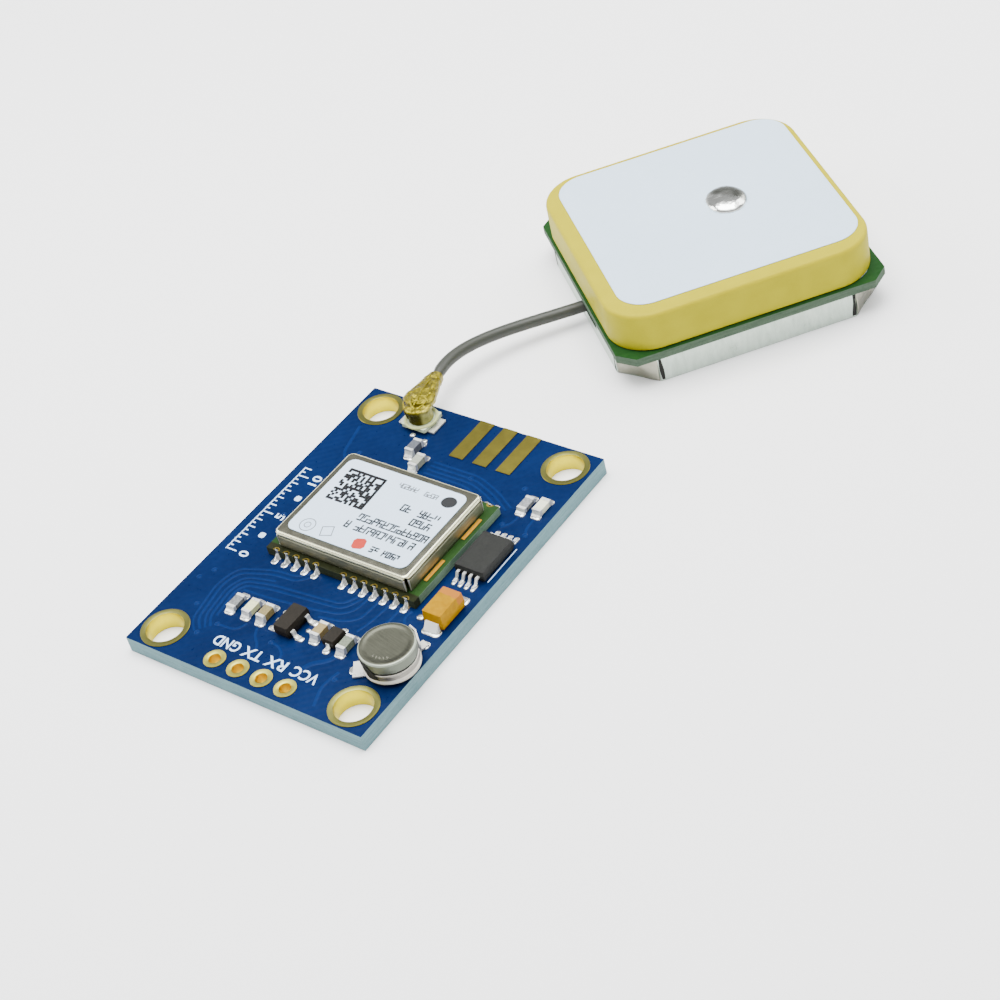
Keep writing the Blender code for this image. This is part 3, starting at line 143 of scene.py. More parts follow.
class Finish:
    """A material with one Principled shader, and a method that adds any node to it."""

    def __init__(self, name, colour, roughness, metallic=0.0, gloss=0.5):
        self.material = bpy.data.materials.new(name)
        self.material.use_nodes = True
        self.tree = self.material.node_tree
        self.shader = self.tree.nodes["Principled BSDF"]
        for socket, value in (("Base Color", colour), ("Roughness", roughness),
                              ("Metallic", metallic), ("Specular IOR Level", gloss)):
            self.set(socket, value)

    def plug(self, target, value):
        """Wire a value into a socket, or write it there as a colour or a number."""
        if isinstance(value, Wire):
            self.tree.links.new(value.socket, target)
        elif isinstance(value, (tuple, list)) and len(value) == 3 and target.type == "RGBA":
            target.default_value = (*value, 1.0)
        else:
            target.default_value = value

    def set(self, name, value):
        """Give one of the shader's own sockets a value or a wire."""
        self.plug(self.shader.inputs[name], value)

    def node(self, kind, settings=None, inputs=(), out=0):
        """Add a node: its settings first, then its inputs by name or by order."""
        made = self.tree.nodes.new(kind)
        for key, value in (settings or {}).items():
            setattr(made, key, value)
        for key, value in inputs.items() if isinstance(inputs, dict) else enumerate(inputs):
            self.plug(made.inputs[key], value)
        return Wire(self, made.outputs[out])

    def mix(self, factor, first, second):
        """Blend two colours by a factor."""
        return self.node("ShaderNodeMix", {"data_type": "RGBA"},
                         {0: factor, 6: first, 7: second}, 2)

    def place(self, centre=(0.0, 0.0), turn=0.0, height=0.0):
        """The point's place in millimetres from a centre, turned back about Z."""
        scaled_up = [self.node("ShaderNodeTexCoord", out=3), (1 / MM,) * 3,
                     (-centre[0], -centre[1], -height)]
        shifted = self.node("ShaderNodeVectorMath", {"operation": "MULTIPLY_ADD"}, scaled_up)
        if not turn:
            return shifted
        return self.node("ShaderNodeVectorRotate", {"rotation_type": "Z_AXIS"},
                         {"Vector": shifted, "Angle": -turn})

    def stretched(self, vector, factors):
        """A vector wire times three factors, which draws noise out along an axis."""
        return self.node("ShaderNodeVectorMath", {"operation": "MULTIPLY"}, [vector, factors])

    def split(self, vector):
        """The three parts of a vector wire."""
        parts = self.tree.nodes.new("ShaderNodeSeparateXYZ")
        self.tree.links.new(vector.socket, parts.inputs[0])
        return [Wire(self, output) for output in parts.outputs]

    def upward(self):
        """How much the surface faces up: 1 on top, 0 on a wall, -1 below."""
        return self.split(self.node("ShaderNodeNewGeometry", out=1))[2]

    def noise(self, vector, scale, detail=3.0, roughness=0.5):
        """Soft noise between 0 and 1, with its scale in features per millimetre."""
        return self.node("ShaderNodeTexNoise", {}, {"Vector": vector, "Scale": scale,
                                                    "Detail": detail, "Roughness": roughness})

    def dress(self, colour, roughness, height, depth):
        """Set colour and roughness, and tilt the surface by a height of some depth in mm."""
        self.set("Base Color", colour)
        self.set("Roughness", roughness)
        self.set("Normal", self.node("ShaderNodeBump", {}, {
            "Strength": 1.0, "Distance": depth * MM, "Height": height}))


def scaled(colour, share):
    """A colour times a number."""
    return tuple(part * share for part in colour)


def wear(node_names, finish):
    """Give CAD nodes a finish."""
    for node_name in node_names:
        slots = nodes[node_name].data.materials
        slots.clear()
        slots.append(finish.material)


# %% [markdown]
# ## Light and floor
# Small electronics are photographed under one large soft source, with the room dim around it.
# Flat metal then mirrors the dim band and looks dark, while every rounded edge mirrors the
# source and draws a bright line. An even white world would lose both, so this one is bright
# at its top, dim half way down and pale again at the horizon, all by the height of a direction.

# %% Light and floor
SKY_LEVELS = ((0.0, 0.34), (0.28, 0.2), (0.5, 0.085), (0.74, 0.12), (0.93, 1.0))
SKY_STRENGTH = 4.6
FLOOR_REACH, FLOOR_DROP = 1.2, 0.00002

world = bpy.data.worlds.new("studio")
world.use_nodes = True
sky = world.node_tree
background = sky.nodes["Background"]
direction = sky.nodes.new("ShaderNodeTexCoord")
parts = sky.nodes.new("ShaderNodeSeparateXYZ")
ramp = sky.nodes.new("ShaderNodeValToRGB")
sky.links.new(direction.outputs["Generated"], parts.inputs[0])
sky.links.new(parts.outputs["Z"], ramp.inputs["Fac"])
sky.links.new(ramp.outputs["Color"], background.inputs["Color"])
while len(ramp.color_ramp.elements) < len(SKY_LEVELS):
    ramp.color_ramp.elements.new(0.5)
for stop, (height, level) in zip(ramp.color_ramp.elements, SKY_LEVELS):
    stop.position = height
    stop.color = (level, level, level * 1.01, 1.0)
background.inputs["Strength"].default_value = SKY_STRENGTH
bpy.context.scene.world = world


def add_light(name, place, aim, size, power):
    """A square area light at a place, turned towards an aim, both in millimetres."""
    data = bpy.data.lights.new(name, "AREA")
    data.size = size * MM
    data.energy = power
    light = put(name, data)
    light.location = Vector(place) * MM
    light.rotation_euler = (Vector(aim) - Vector(place)).to_track_quat("-Z", "Y").to_euler()


add_light("overhead", (-20, 40, 240), (4, 15, 0), 190, 1.15)
add_light("from_left", (-190, -50, 120), (4, 15, 0), 140, 0.34)
add_light("from_behind", (60, 230, 140), (4, 25, 0), 150, 0.4)

floor_mesh = bpy.data.meshes.new("floor")
floor_mesh.from_pydata([(x * FLOOR_REACH, y * FLOOR_REACH, -FLOOR_DROP)
                        for x, y in ((-1, -1), (1, -1), (1, 1), (-1, 1))], [], [(0, 1, 2, 3)])
floor_mesh.materials.append(Finish("floor_paint", (0.96, 0.96, 0.96), 0.9).material)
put("floor", floor_mesh)

# %% [markdown]
# ## Meshes from arrays
# Every new surface is a grid of points, so one helper turns a grid into faces for all of them.
# The faces' corner numbers are themselves a numpy array, so no loop visits a vertex.

# %% Meshes from arrays
def together(*parts):
    """Arrays that broadcast to one shape, stacked along a new last axis."""
    return np.stack(np.broadcast_arrays(*parts), -1)


def grid_faces(rows, columns, wrap_rows=False, wrap_columns=False):
    """Corner numbers of the quads of a grid, as an array of four columns."""
    row = np.arange(rows if wrap_rows else rows - 1)[:, None]
    column = np.arange(columns if wrap_columns else columns - 1)[None, :]
    next_row = (row + 1) % rows
    next_column = (column + 1) % columns
    return together(row * columns + column, row * columns + next_column,
                    next_row * columns + next_column, next_row * columns + column).reshape(-1, 4)


class Shape:
    """Points in millimetres and faces, gathered from several surfaces into one mesh."""

    def __init__(self):
        self.points = []
        self.faces = []
        self.count = 0

    def add(self, points, faces):
        """Add points, and faces as lists of corner numbers among those points."""
        points = np.asarray(points, float).reshape(-1, 3)
        self.faces.extend([corner + self.count for corner in face] for face in faces)
        self.points.append(points)
        self.count += len(points)

    def grid(self, points, wrap_rows=False, wrap_columns=False):
        """Add a grid of points of shape (rows, columns, 3)."""
        self.add(points, grid_faces(*points.shape[:2], wrap_rows, wrap_columns).tolist())

    def capped(self, points, wrap=True):
        """Add a grid of rings, or of open arcs if not wrapped, its first and last row capped."""
        rows, columns = points.shape[:2]
        first = range(self.count, self.count + columns)
        self.grid(points, wrap_columns=wrap)
        self.faces.append(list(first)[::-1])
        self.faces.append([corner + (rows - 1) * columns for corner in first])

    def mesh(self, name, finish, slot, replaces=(), sharp=35.0, sheet=None):
        """Make the piece, smooth below an angle, and let it ride; a sheet has a thickness."""
        points = np.concatenate(self.points) * MM
        data = bpy.data.meshes.new(name)
        data.from_pydata(points.tolist(), [], self.faces)
        data.validate()
        piece = put(name, data)
        data.shade_smooth()
        data.set_sharp_from_angle(angle=math.radians(sharp))
        data.materials.append(finish.material)
        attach(piece, "root")
        if replaces:
            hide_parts(*replaces)
        if sheet:
            thicken = piece.modifiers.new("sheet", "SOLIDIFY")
            thicken.thickness, thicken.offset = sheet[0] * MM, sheet[1]
        print(name, len(points), "points")


def full_turn(steps):
    """Angles that go round once in equal steps."""
    return np.linspace(0.0, 2 * np.pi, steps, endpoint=False)


def unit(vectors):
    """Vectors of length one."""
    return vectors / np.linalg.norm(vectors, axis=-1, keepdims=True)


def turned(profile, steps, centre):
    """Turn a profile about an upright axis: each radius goes round as cosine and sine."""
    profile = np.asarray(profile, float)
    angle = full_turn(steps)
    return together(centre[0] + profile[:, :1] * np.cos(angle),
                    centre[1] + profile[:, :1] * np.sin(angle), profile[:, 1:])


def turned_piece(profile, steps, centre, *mesh, **options):
    """A capped turned piece, from its profile to its mesh."""
    shape = Shape()
    shape.capped(turned(profile, steps, centre))
    shape.mesh(*mesh, **options)


def round_corner(middle, radius, start, end, steps=6):
    """Points of a round corner in a profile, from a start angle to an end angle in degrees."""
    angle = np.radians(np.linspace(start, end, steps))
    return together(middle[0] + radius * np.cos(angle), middle[1] + radius * np.sin(angle))


def rounded_outline(size_x, size_y, radius, steps=8, centre=(0.0, 0.0)):
    """Counter-clockwise outline of a rectangle whose corners are quarter circles."""
    angle = np.radians(np.arange(4)[:, None] * 90.0 + np.linspace(0.0, 90.0, steps + 1)).ravel()
    side_x = np.repeat([1, -1, -1, 1], steps + 1)
    side_y = np.repeat([1, 1, -1, -1], steps + 1)
    return together(centre[0] + side_x * (size_x / 2 - radius) + radius * np.cos(angle),
                    centre[1] + side_y * (size_y / 2 - radius) + radius * np.sin(angle))


def stacked(outlines, heights):
    """Rings of one outline each, lifted to their heights, as one grid."""
    return np.stack([together(*outline.T, height) for outline, height in zip(outlines, heights)])


def inset_rings(size, radius, steps, centre, insets, heights):
    """Rings of one rounded outline, each drawn in by its inset and lifted to its height."""
    return stacked([rounded_outline(size[0] - 2 * inset, size[1] - 2 * inset,
                                    max(radius - inset, 0.03), steps, centre)
                    for inset in insets], heights)


def carried(points, turn, centre=(0.0, 0.0)):
    """Points turned about Z, then moved to a centre."""
    cosine, sine = math.cos(turn), math.sin(turn)
    points = np.array(points, float)
    points[..., :2] = points[..., :2] @ [[cosine, sine], [-sine, cosine]] + centre
    return points


def tube(path, radius, steps):
    """Rings square to the path: each ring's frame is level, so the tube never twists."""
    way = unit(np.gradient(path, axis=0))
    level = unit(np.cross([0.0, 0.0, 1.0], way))
    upright = np.cross(way, level)
    angle = full_turn(steps)[:, None]
    ring = level[:, None] * np.cos(angle) + upright[:, None] * np.sin(angle)
    return path[:, None] + ring * np.reshape(radius, (-1, 1, 1))


# %% [markdown]
# ## Sizes read from the solids
# What lies on a solid takes its height from that solid, so it stays on it when a size changes.

# %% Sizes read from the solids
def box_mm(name):
    """The lowest and the highest corner of a solid."""
    low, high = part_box(name)
    return np.array(low) / MM, np.array(high) / MM


def middle_of(name):
    """The middle of a solid, seen from above."""
    low, high = box_mm(name)
    return ((low + high) / 2)[:2]


def heights_of(name):
    """The lowest and the highest Z of a solid."""
    low, high = box_mm(name)
    return low[2], high[2]


BOARD_TOP = heights_of("circuit_board")[1]
LAND_TOP = heights_of("edge_pad_1")[1]
LABEL_TOP = heights_of("module_label")[1]
ANTENNA_TURN = math.radians(51.0)
ANTENNA_AT = middle_of("antenna_board")
print("board top", BOARD_TOP, "label top", LABEL_TOP, "antenna at", ANTENNA_AT)

# %% [markdown]
# ## Solder mask and laminate
# The board is woven glass in resin, coated on both faces with a blue lacquer. The lacquer is
# glossy with a faint ripple from the weave, and the sawn sides show pale bare laminate in
# layers. One finish does both, because the surface's direction tells faces from sides.

# %% Solder mask and laminate
WEAVE = 7.0


def laminate_finish(name, mask_dark, mask_light, side_light, side_dark, roughness, gloss=0.07):
    """Lacquer on faces that look up or down, layered bare laminate on the sides."""
    finish = Finish(name, mask_dark, roughness, gloss=gloss)
    place = finish.place()
    x, y, _ = finish.split(place)
    facing = abs(finish.upward()).between(0.6, 0.8)
    cloud = finish.noise(place, 0.16, 4.0, 0.6)
    speck = finish.noise(place, 2.6, 2.0)
    mask = finish.mix((cloud - 0.35) * 1.8 + speck.about(0.0, 0.5), mask_dark, mask_light)
    layer = finish.noise(finish.stretched(place, (0.5, 0.5, 6.0)), 1.0)
    fray = finish.noise(place, 6.0, 2.0)
    side = finish.mix(layer * 1.2 + fray.about(-0.1, 0.6), side_dark, side_light)
    finish.skin = finish.mix(facing, side, mask)
    weave = (x * WEAVE).sine() * (y * WEAVE).sine()
    finish.dress(finish.skin, speck.about(roughness, 0.12) + (1 - facing) * 0.3,
                 weave * 0.5 + cloud * 2.0 + speck * 0.4, 0.012)
    return finish


board_mask = laminate_finish("blue_solder_mask", (0.001, 0.0078, 0.042), (0.002, 0.0138, 0.068),
                             (0.165, 0.28, 0.295), (0.085, 0.155, 0.175), 0.3)
module_mask = laminate_finish("green_module_mask", (0.011, 0.034, 0.008), (0.025, 0.066, 0.013),
                              (0.2, 0.31, 0.215), (0.08, 0.14, 0.095), 0.4)
antenna_mask = laminate_finish("green_antenna_mask", (0.009, 0.042, 0.009), (0.016, 0.07, 0.015),
                               (0.085, 0.125, 0.085), (0.04, 0.065, 0.042), 0.42)
wear(["circuit_board"], board_mask)
wear(["antenna_board"], antenna_mask)

# %% [markdown]
# ## Metals
# Gold over nickel, tinned steel, nickel silver and solder differ in colour, but all share the
# same cause of life: small height and roughness changes that break up what they mirror.

# %% Metals
def metal_finish(name, colour, deep, roughness, grain=3.0, ripple=0.004, metallic=1.0):
    """A metal whose colour and roughness wander between two values with fine noise."""
    finish = Finish(name, colour, roughness, metallic)
    place = finish.place()
    wander = finish.noise(place, grain, 3.0, 0.6)
    broad = finish.noise(place, grain * 0.2, 2.0)
    finish.dress(finish.mix(wander * 0.8 + broad * 0.5 - 0.1, deep, colour),
                 (wander + broad - 1.0) * 0.14 + roughness, wander + broad * 2.0, ripple)
    return finish


edge_gold = metal_finish("edge_gold", (0.16, 0.135, 0.022), (0.075, 0.066, 0.014), 0.45, 1.2)
strip_gold = metal_finish("strip_gold", (0.6, 0.3, 0.015), (0.42, 0.17, 0.008), 0.5, metallic=0.7)
notch_gold = metal_finish("notch_gold", (0.3, 0.22, 0.04), (0.03, 0.025, 0.008), 0.4, 2.5)
contact_gold = metal_finish("contact_gold", (0.6, 0.42, 0.03), (0.36, 0.25, 0.015), 0.3)
tin = metal_finish("bright_tin", (0.84, 0.84, 0.8), (0.62, 0.62, 0.58), 0.3, metallic=0.7)
solder = metal_finish("solder", (0.86, 0.88, 0.86), (0.36, 0.38, 0.36), 0.22, 2.0, 0.015, 0.9)
stamp_steel = metal_finish("stamp_steel", (0.22, 0.22, 0.17), (0.14, 0.14, 0.11), 0.4, metallic=0.9)
cell_steel = metal_finish("cell_steel", (0.5, 0.54, 0.42), (0.32, 0.35, 0.26), 0.3, 2.0)

# %% [markdown]
# ## Plated holes
# A hole's plating is one skin: a flat ring on each face and a barrel through the board. The
# ring mirrors the dim room and looks olive, the barrel mirrors the white floor and looks bright
# yellow. The finish paints these reflections into the colour: by the surface's direction it
# gives the ring a dark olive and the barrel a bright yellow.

# %% Plated holes
RING_THICK, RING_EDGE = 0.05, 0.015
MOUNT_X, MOUNT_Y = 10.2, 15.0
HEADER_X = (np.arange(4) - 1.5) * 2.54
HEADER_Y = middle_of("header_plating_1")[1]


def plating_finish(name, ring, barrel, roughness):
    """Gold given a painted reflection by direction: a dark olive ring and a bright yellow barrel.
    """
    finish = Finish(name, ring, roughness, 1.0)
    wander = finish.noise(finish.place(), 3.5, 3.0, 0.6)
    ring_painted_reflection = finish.mix(wander, scaled(ring, 0.85), ring)
    barrel_painted_reflection = finish.mix(wander, scaled(barrel, 0.88), barrel)
    facing = abs(finish.upward()).between(0.5, 0.9)
    finish.dress(finish.mix(facing, barrel_painted_reflection, ring_painted_reflection),
                 wander.about(roughness, 0.1), wander, 0.0015)
    return finish


def hole_skin(shape, centre, inner, pad, wall=0.08, lip=0.025, steps=72):
    """A closed turned tube: ring, barrel and ring, its mouth eased by a quarter round."""
    top, outer = LAND_TOP, inner + wall
    profile = np.concatenate([
        round_corner((inner + lip, lip), lip, 270.0, 180.0, 4),
        round_corner((inner + lip, top - lip), lip, 180.0, 90.0, 4),
        [(pad - RING_EDGE, top), (pad, top - RING_EDGE), (pad, top - RING_THICK),
         (outer, top - RING_THICK), (outer, RING_THICK), (pad, RING_THICK),
         (pad, RING_EDGE), (pad - RING_EDGE, 0.0)]])
    shape.grid(turned(profile, steps, centre), wrap_rows=True, wrap_columns=True)


mount_plating = plating_finish("mount_plating", (0.22, 0.215, 0.06), (0.66, 0.56, 0.012), 0.3)
header_plating = plating_finish("header_plating", (0.44, 0.41, 0.085), (0.9, 0.66, 0.02), 0.34)
mount_skin = Shape()
for side_x in (-1, 1):
    for side_y in (-1, 1):
        hole_skin(mount_skin, (side_x * MOUNT_X, side_y * MOUNT_Y), 1.65, 2.15)
header_skin = Shape()
for pin_x in HEADER_X:
    hole_skin(header_skin, (pin_x, HEADER_Y), 0.5, 0.97, 0.06, 0.1, 48)
mount_skin.mesh("mount_platings", mount_plating, "gold_plating",
                ["hole_plating_%d" % number for number in range(1, 5)])
header_skin.mesh("header_platings", header_plating, "gold_plating",
                 ["header_plating_%d" % number for number in range(1, 5)])

# %% [markdown]
# ## Plastics, ceramic and print
# Moulded epoxy is grey-black with a fine stipple, the tile is pressed and fired ceramic with a
# matt body, and its electrode is silver paste that was printed and fired, so it is nearly white.

# %% Plastics, ceramic and print
WET_TIN = (0.84, 0.86, 0.83)
EPOXY = ((0.0085, 0.009, 0.0085), (0.023, 0.024, 0.022))
EPOXY_BROWN = ((0.005, 0.0045, 0.0035), (0.02, 0.016, 0.011))
CHIP_BODIES = {
    "resistor_1": ((0.07, 0.075, 0.08), (0.24, 0.25, 0.25)),
    "resistor_2": ((0.1, 0.11, 0.12), (0.3, 0.31, 0.32)),
    "led_1": ((0.72, 0.76, 0.44), (0.5, 0.52, 0.28)),
    "led_2": ((0.72, 0.76, 0.6), (0.58, 0.6, 0.46)),
    "capacitor_1": ((0.13, 0.1, 0.03), (0.24, 0.2, 0.09)),
    "capacitor_2": ((0.2, 0.14, 0.045), (0.28, 0.22, 0.1)),
    "capacitor_3": ((0.075, 0.09, 0.06), (0.2, 0.23, 0.17)),
    "capacitor_4": ((0.2, 0.22, 0.17), (0.34, 0.36, 0.3)),
    "inductor": ((0.05, 0.055, 0.065), (0.1, 0.11, 0.13)),
}


def matt_finish(name, colour, second, roughness, grain=4.0, ripple=0.004, gloss=0.12):
    """A matt body whose colour wanders a little, with a fine stipple."""
    finish = Finish(name, colour, roughness, gloss=gloss)
    place = finish.place()
    fine = finish.noise(place, grain, 3.0, 0.65)
    broad = finish.noise(place, grain * 0.12, 2.0)
    finish.dress(finish.mix((fine + broad) * 0.5, colour, second),
                 fine.about(roughness, 0.15), fine, ripple)
    return finish


def leaded_finish(chip, across, half, body, second):
    """Moulded epoxy inside half a width along one axis, tinned lead outside it."""
    finish = Finish(chip + "_finish", body, 0.5, gloss=0.12)
    place = finish.place(middle_of(chip))
    is_lead = abs(finish.split(place)[across]) > half
    fine = finish.noise(place, 5.0, 3.0, 0.65)
    broad = finish.noise(place, 0.8, 2.0)
    moulded = finish.mix(fine * 0.7 + broad * 0.6 - 0.15, body, second)
    finish.set("Metallic", is_lead * 0.7)
    finish.dress(finish.mix(is_lead, moulded, WET_TIN),
                 fine.about(0.55, 0.15) - is_lead * 0.3, fine, 0.006)
    wear([chip], finish)


def ended_finish(chip, body, second):
    """A two-ended chip: its body in the middle and solder-wetted terminals at both ends."""
    finish = Finish(chip + "_finish", body, 0.45, gloss=0.3)
    place = finish.place(middle_of(chip))
    fine = finish.noise(place, 6.0, 3.0)
    end = (abs(finish.split(place)[1]) + fine.about(0.0, 0.1)).between(0.5, 0.56)
    finish.set("Metallic", end * 0.7)
    finish.dress(finish.mix(end, finish.mix(fine * 1.6 - 0.3, body, second), WET_TIN),
                 fine.about(0.45, 0.15) - end * 0.15, fine, 0.01)
    wear([chip], finish)


silver_paste = matt_finish("silver_paste", (0.52, 0.64, 0.86), (0.56, 0.7, 0.9), 0.55, 2.0)
silver_film = matt_finish("silver_film", (0.49, 0.62, 0.74), (0.56, 0.7, 0.84), 0.55, 0.9)
label_film = matt_finish("label_film", (0.58, 0.72, 0.88), (0.53, 0.66, 0.8), 0.45, 6.0, 0.001)
print_black = matt_finish("print_black", (0.008, 0.008, 0.009), (0.014, 0.014, 0.015), 0.6)
print_dot = matt_finish("print_dot", (0.016, 0.017, 0.018), (0.024, 0.025, 0.027), 0.6)
print_grey = matt_finish("print_grey", (0.022, 0.024, 0.026), (0.045, 0.048, 0.052), 0.6)
print_faint = matt_finish("print_faint", (0.1, 0.105, 0.11), (0.15, 0.155, 0.165), 0.6)
print_red = matt_finish("print_red", (0.36, 0.022, 0.014), (0.46, 0.05, 0.035), 0.5)
silk_white = matt_finish("silk_white", (0.6, 0.74, 0.92), (0.4, 0.54, 0.76), 0.6, 8.0)
jacket = matt_finish("lead_jacket", (0.044, 0.047, 0.038), (0.028, 0.03, 0.025), 0.4, 6.0, 0.003,
                     0.3)
insulator = matt_finish("white_insulator", (0.46, 0.5, 0.24), (0.34, 0.37, 0.16), 0.4)
gasket = matt_finish("gasket_black", (0.01, 0.01, 0.009), (0.018, 0.018, 0.016), 0.6)
socket_body = matt_finish("socket_plastic", (0.5, 0.57, 0.42), (0.38, 0.44, 0.3), 0.45)
leaded_finish("memory_chip", 1, 2.2, *EPOXY)
leaded_finish("voltage_regulator", 0, 0.8, *EPOXY_BROWN)
leaded_finish("diode", 1, 0.85, *EPOXY_BROWN)
for chip, (body, second) in CHIP_BODIES.items():
    ended_finish(chip, body, second)

tantalum = Finish("tantalum_finish", (0.3, 0.13, 0.001), 0.42, gloss=0.03)
place = tantalum.place(middle_of("tantalum_capacitor"))
_, y, z = tantalum.split(place)
fine = tantalum.noise(place, 2.2, 3.0)
body = tantalum.mix(fine * 1.4 - 0.2, (0.24, 0.115, 0.0004), (0.36, 0.19, 0.0008))
band = (y + fine.about(0.0, 0.3)).between(0.7, 0.85) * (z > 2.5)
foot = abs(y) > 1.595
tantalum.set("Metallic", foot * 0.45)
banded = tantalum.mix(band, body, (0.34, 0.125, 0.018))
tantalum.dress(tantalum.mix(foot, banded, (0.92, 0.92, 0.88)),
               fine.about(0.42, 0.15) - foot * 0.18, fine, 0.01)
wear(["tantalum_capacitor"], tantalum)

wear(["edge_pad_1", "edge_pad_2", "edge_pad_3"], edge_gold)
wear(["ground_strip_1", "ground_strip_2"], strip_gold)
wear(["plug_contact", "socket_pin"], contact_gold)
wear(["socket_shell", "cell_tab_near", "cell_tab_far"], tin)
wear(["reference_oscillator", "antenna_filter"], cell_steel)
wear(["antenna_electrode", "antenna_ground_layer"], silver_paste)
wear(["module_label"], label_film)
wear(["plug_insulator"], insulator)
wear(["socket_base"], socket_body)
wear(["receiver_chip", "amplifier_chip"], matt_finish("epoxy", *EPOXY, 0.5))
wear(["receiver_filter"], matt_finish("filter_ceramic", (0.2, 0.2, 0.2), (0.3, 0.3, 0.3), 0.4))

# %% [markdown]
# ## Module board and its edge contacts
# The module is a small green board whose contacts are plated holes cut in half by its edge, so
# each one is a half-round notch. The outline is one array: where a point is nearer than the
# notch's radius to a contact, it is pulled in by the height of the circle there. The near edge
# lies in the cover's shade, so a smooth step across Y darkens it.

# %% Module board and its edge contacts
CONTACT_PITCH = 1.1
CONTACT_X = np.concatenate([-2.5 - CONTACT_PITCH * np.arange(5)[::-1],
                            0.5 + CONTACT_PITCH * np.arange(7)])
NOTCH_R, NOTCH_RING = 0.24, 0.35
MODULE_MID = middle_of("module_board")
MODULE_HALF = np.array([8.0, 6.1])
MODULE_BASE, MODULE_FACE = heights_of("module_board")


def notched_outline(inset=0.0):
    """Counter-clockwise outline: at a contact the edge draws in by a circle's height there."""
    x = np.linspace(inset - MODULE_HALF[0], MODULE_HALF[0] - inset, 460)
    away = np.abs(x[:, None] - CONTACT_X).min(1)
    depth = MODULE_HALF[1] - np.sqrt(np.clip(NOTCH_R ** 2 - away ** 2, 0.0, None)) - inset
    return np.concatenate([together(x, -depth), together(x, depth)[::-1]]) + MODULE_MID


module_board = Shape()
module_board.capped(stacked([notched_outline(), notched_outline(), notched_outline(0.02)],
                            [MODULE_BASE, MODULE_FACE - 0.02, MODULE_FACE]))
y = module_mask.split(module_mask.place(MODULE_MID))[1]
shaded = (-y).between(5.3, 5.5)
module_mask.set("Base Color", module_mask.mix(shaded * 0.92, module_mask.skin,
                                              (0.012, 0.012, 0.005)))
module_board.mesh("module_laminate", module_mask, "module_laminate", ["module_board"])

# %% [markdown]
# Each notch is gold plated, with a short gold ring left round it on the board's face. The skin
# is a strip carried round the half circle. On the far side it is read backwards, which turns
# its faces outwards there too.

# %% Gold of the edge contacts
def contact_skin(x, side):
    """A half-round strip: up the notch's wall, then outwards over the board's face."""
    angle = np.linspace(0.0, math.pi, 15)
    radius = np.array([NOTCH_R - 0.012, NOTCH_R - 0.012, NOTCH_RING, NOTCH_RING])[:, None]
    height = MODULE_FACE + np.array([MODULE_BASE - MODULE_FACE, 0.015, 0.015, 0.0])[:, None]
    return together(MODULE_MID[0] + x + radius * np.cos(angle),
                    MODULE_MID[1] + side * (MODULE_HALF[1] - 0.01 - radius * np.sin(angle)),
                    height)[:, ::side]


contact_strip = Shape()
for contact_x in CONTACT_X:
    for side in (-1, 1):
        contact_strip.grid(contact_skin(contact_x, side))
contact_strip.mesh("module_contacts", notch_gold, "gold_plating")

# %% [markdown]
# ## Solder joints of the module
# The module is held by solder that climbs each half-round edge contact: wide on the board,
# narrow above, with a hollow side, as surface tension leaves it. A cone would look stiff, so
# each joint is half of a turned surface whose radius falls with a power of the height left.

# %% Solder joints of the module
def solder_joint(x, side, seed):
    """Half a turned surface: reach and half width fall with a power of the height left over."""
    rng = np.random.default_rng(seed)
    rise = np.linspace(0.0, 1.0, 14)[:, None]
    angle = np.linspace(-math.pi / 2, math.pi / 2, 17)
    swell = 1.0 + 0.22 * (rng.random() - 0.5)
    reach = 0.08 + 0.52 * swell * (1 - rise) ** 2.4 + 0.05 * (rise > 0.9)
    half = 0.15 + 0.2 * swell * (1 - rise) ** 2.2 + 0.03 * (rise > 0.85)
    lean = 0.05 * (rng.random() - 0.5) * rise
    return together(MODULE_MID[0] + x + half * np.sin(angle) + lean,
                    MODULE_MID[1] + side * (MODULE_HALF[1] - 0.1 + reach * np.cos(angle)),
                    BOARD_TOP + 0.04 + rise * (MODULE_FACE - BOARD_TOP - 0.03))[:, ::-side]


joints = Shape()
for number, contact_x in enumerate(CONTACT_X):
    for side in (-1, 1):
        joints.capped(solder_joint(contact_x, side, number * 2 + (side > 0)), wrap=False)
joints.mesh("module_solder", solder, "bright_tin", sharp=60)

# %% [markdown]
# ## Module cover
# The cover is a formed sheet can: a flat top that rolls over into upright walls, with a slit
# left open at each corner where two walls meet. It could be a box with a bevel, but a profile
# carried round the outline gives the roll, the shallow line under it and the slits: the faces
# at the middle of each corner are simply left out below the roll.

# %% Module cover
COVER_ROLL, COVER_CORNER, COVER_SHEET = 0.28, 0.6, 0.18
CORNER_STEPS, SLIT_ROW, SLIT_COLUMN = 9, 5, 4
COVER_LOW, COVER_HIGH = box_mm("module_cover")
COVER_MID = middle_of("module_cover")
COVER_SIZE = (COVER_HIGH - COVER_LOW)[:2]
tall = COVER_HIGH[2] - COVER_LOW[2]
insets, heights = np.concatenate([
    [(1.3, tall)],
    round_corner((COVER_ROLL, tall - COVER_ROLL), COVER_ROLL, 90.0, 180.0, 7),
    [(0.0, tall - 0.42), (0.045, tall - 0.46), (0.045, tall - 0.52), (0.0, tall - 0.56),
     (-0.01, tall * 0.4), (0.01, 0.2), (0.03, 0.0)]]).T
grid = inset_rings(COVER_SIZE, COVER_CORNER, CORNER_STEPS, COVER_MID, insets,
                   COVER_LOW[2] + heights)
rows, columns = grid.shape[:2]
faces = grid_faces(rows, columns, wrap_columns=True)
face_row, face_column = np.divmod(np.arange(len(faces)), columns)
in_slit = (face_row >= SLIT_ROW) & (np.abs(face_column % (CORNER_STEPS + 1) - SLIT_COLUMN) <= 1)
cover = Shape()
cover.add(grid, faces[~in_slit][:, ::-1].tolist())
cover.faces.append(list(range(columns)))

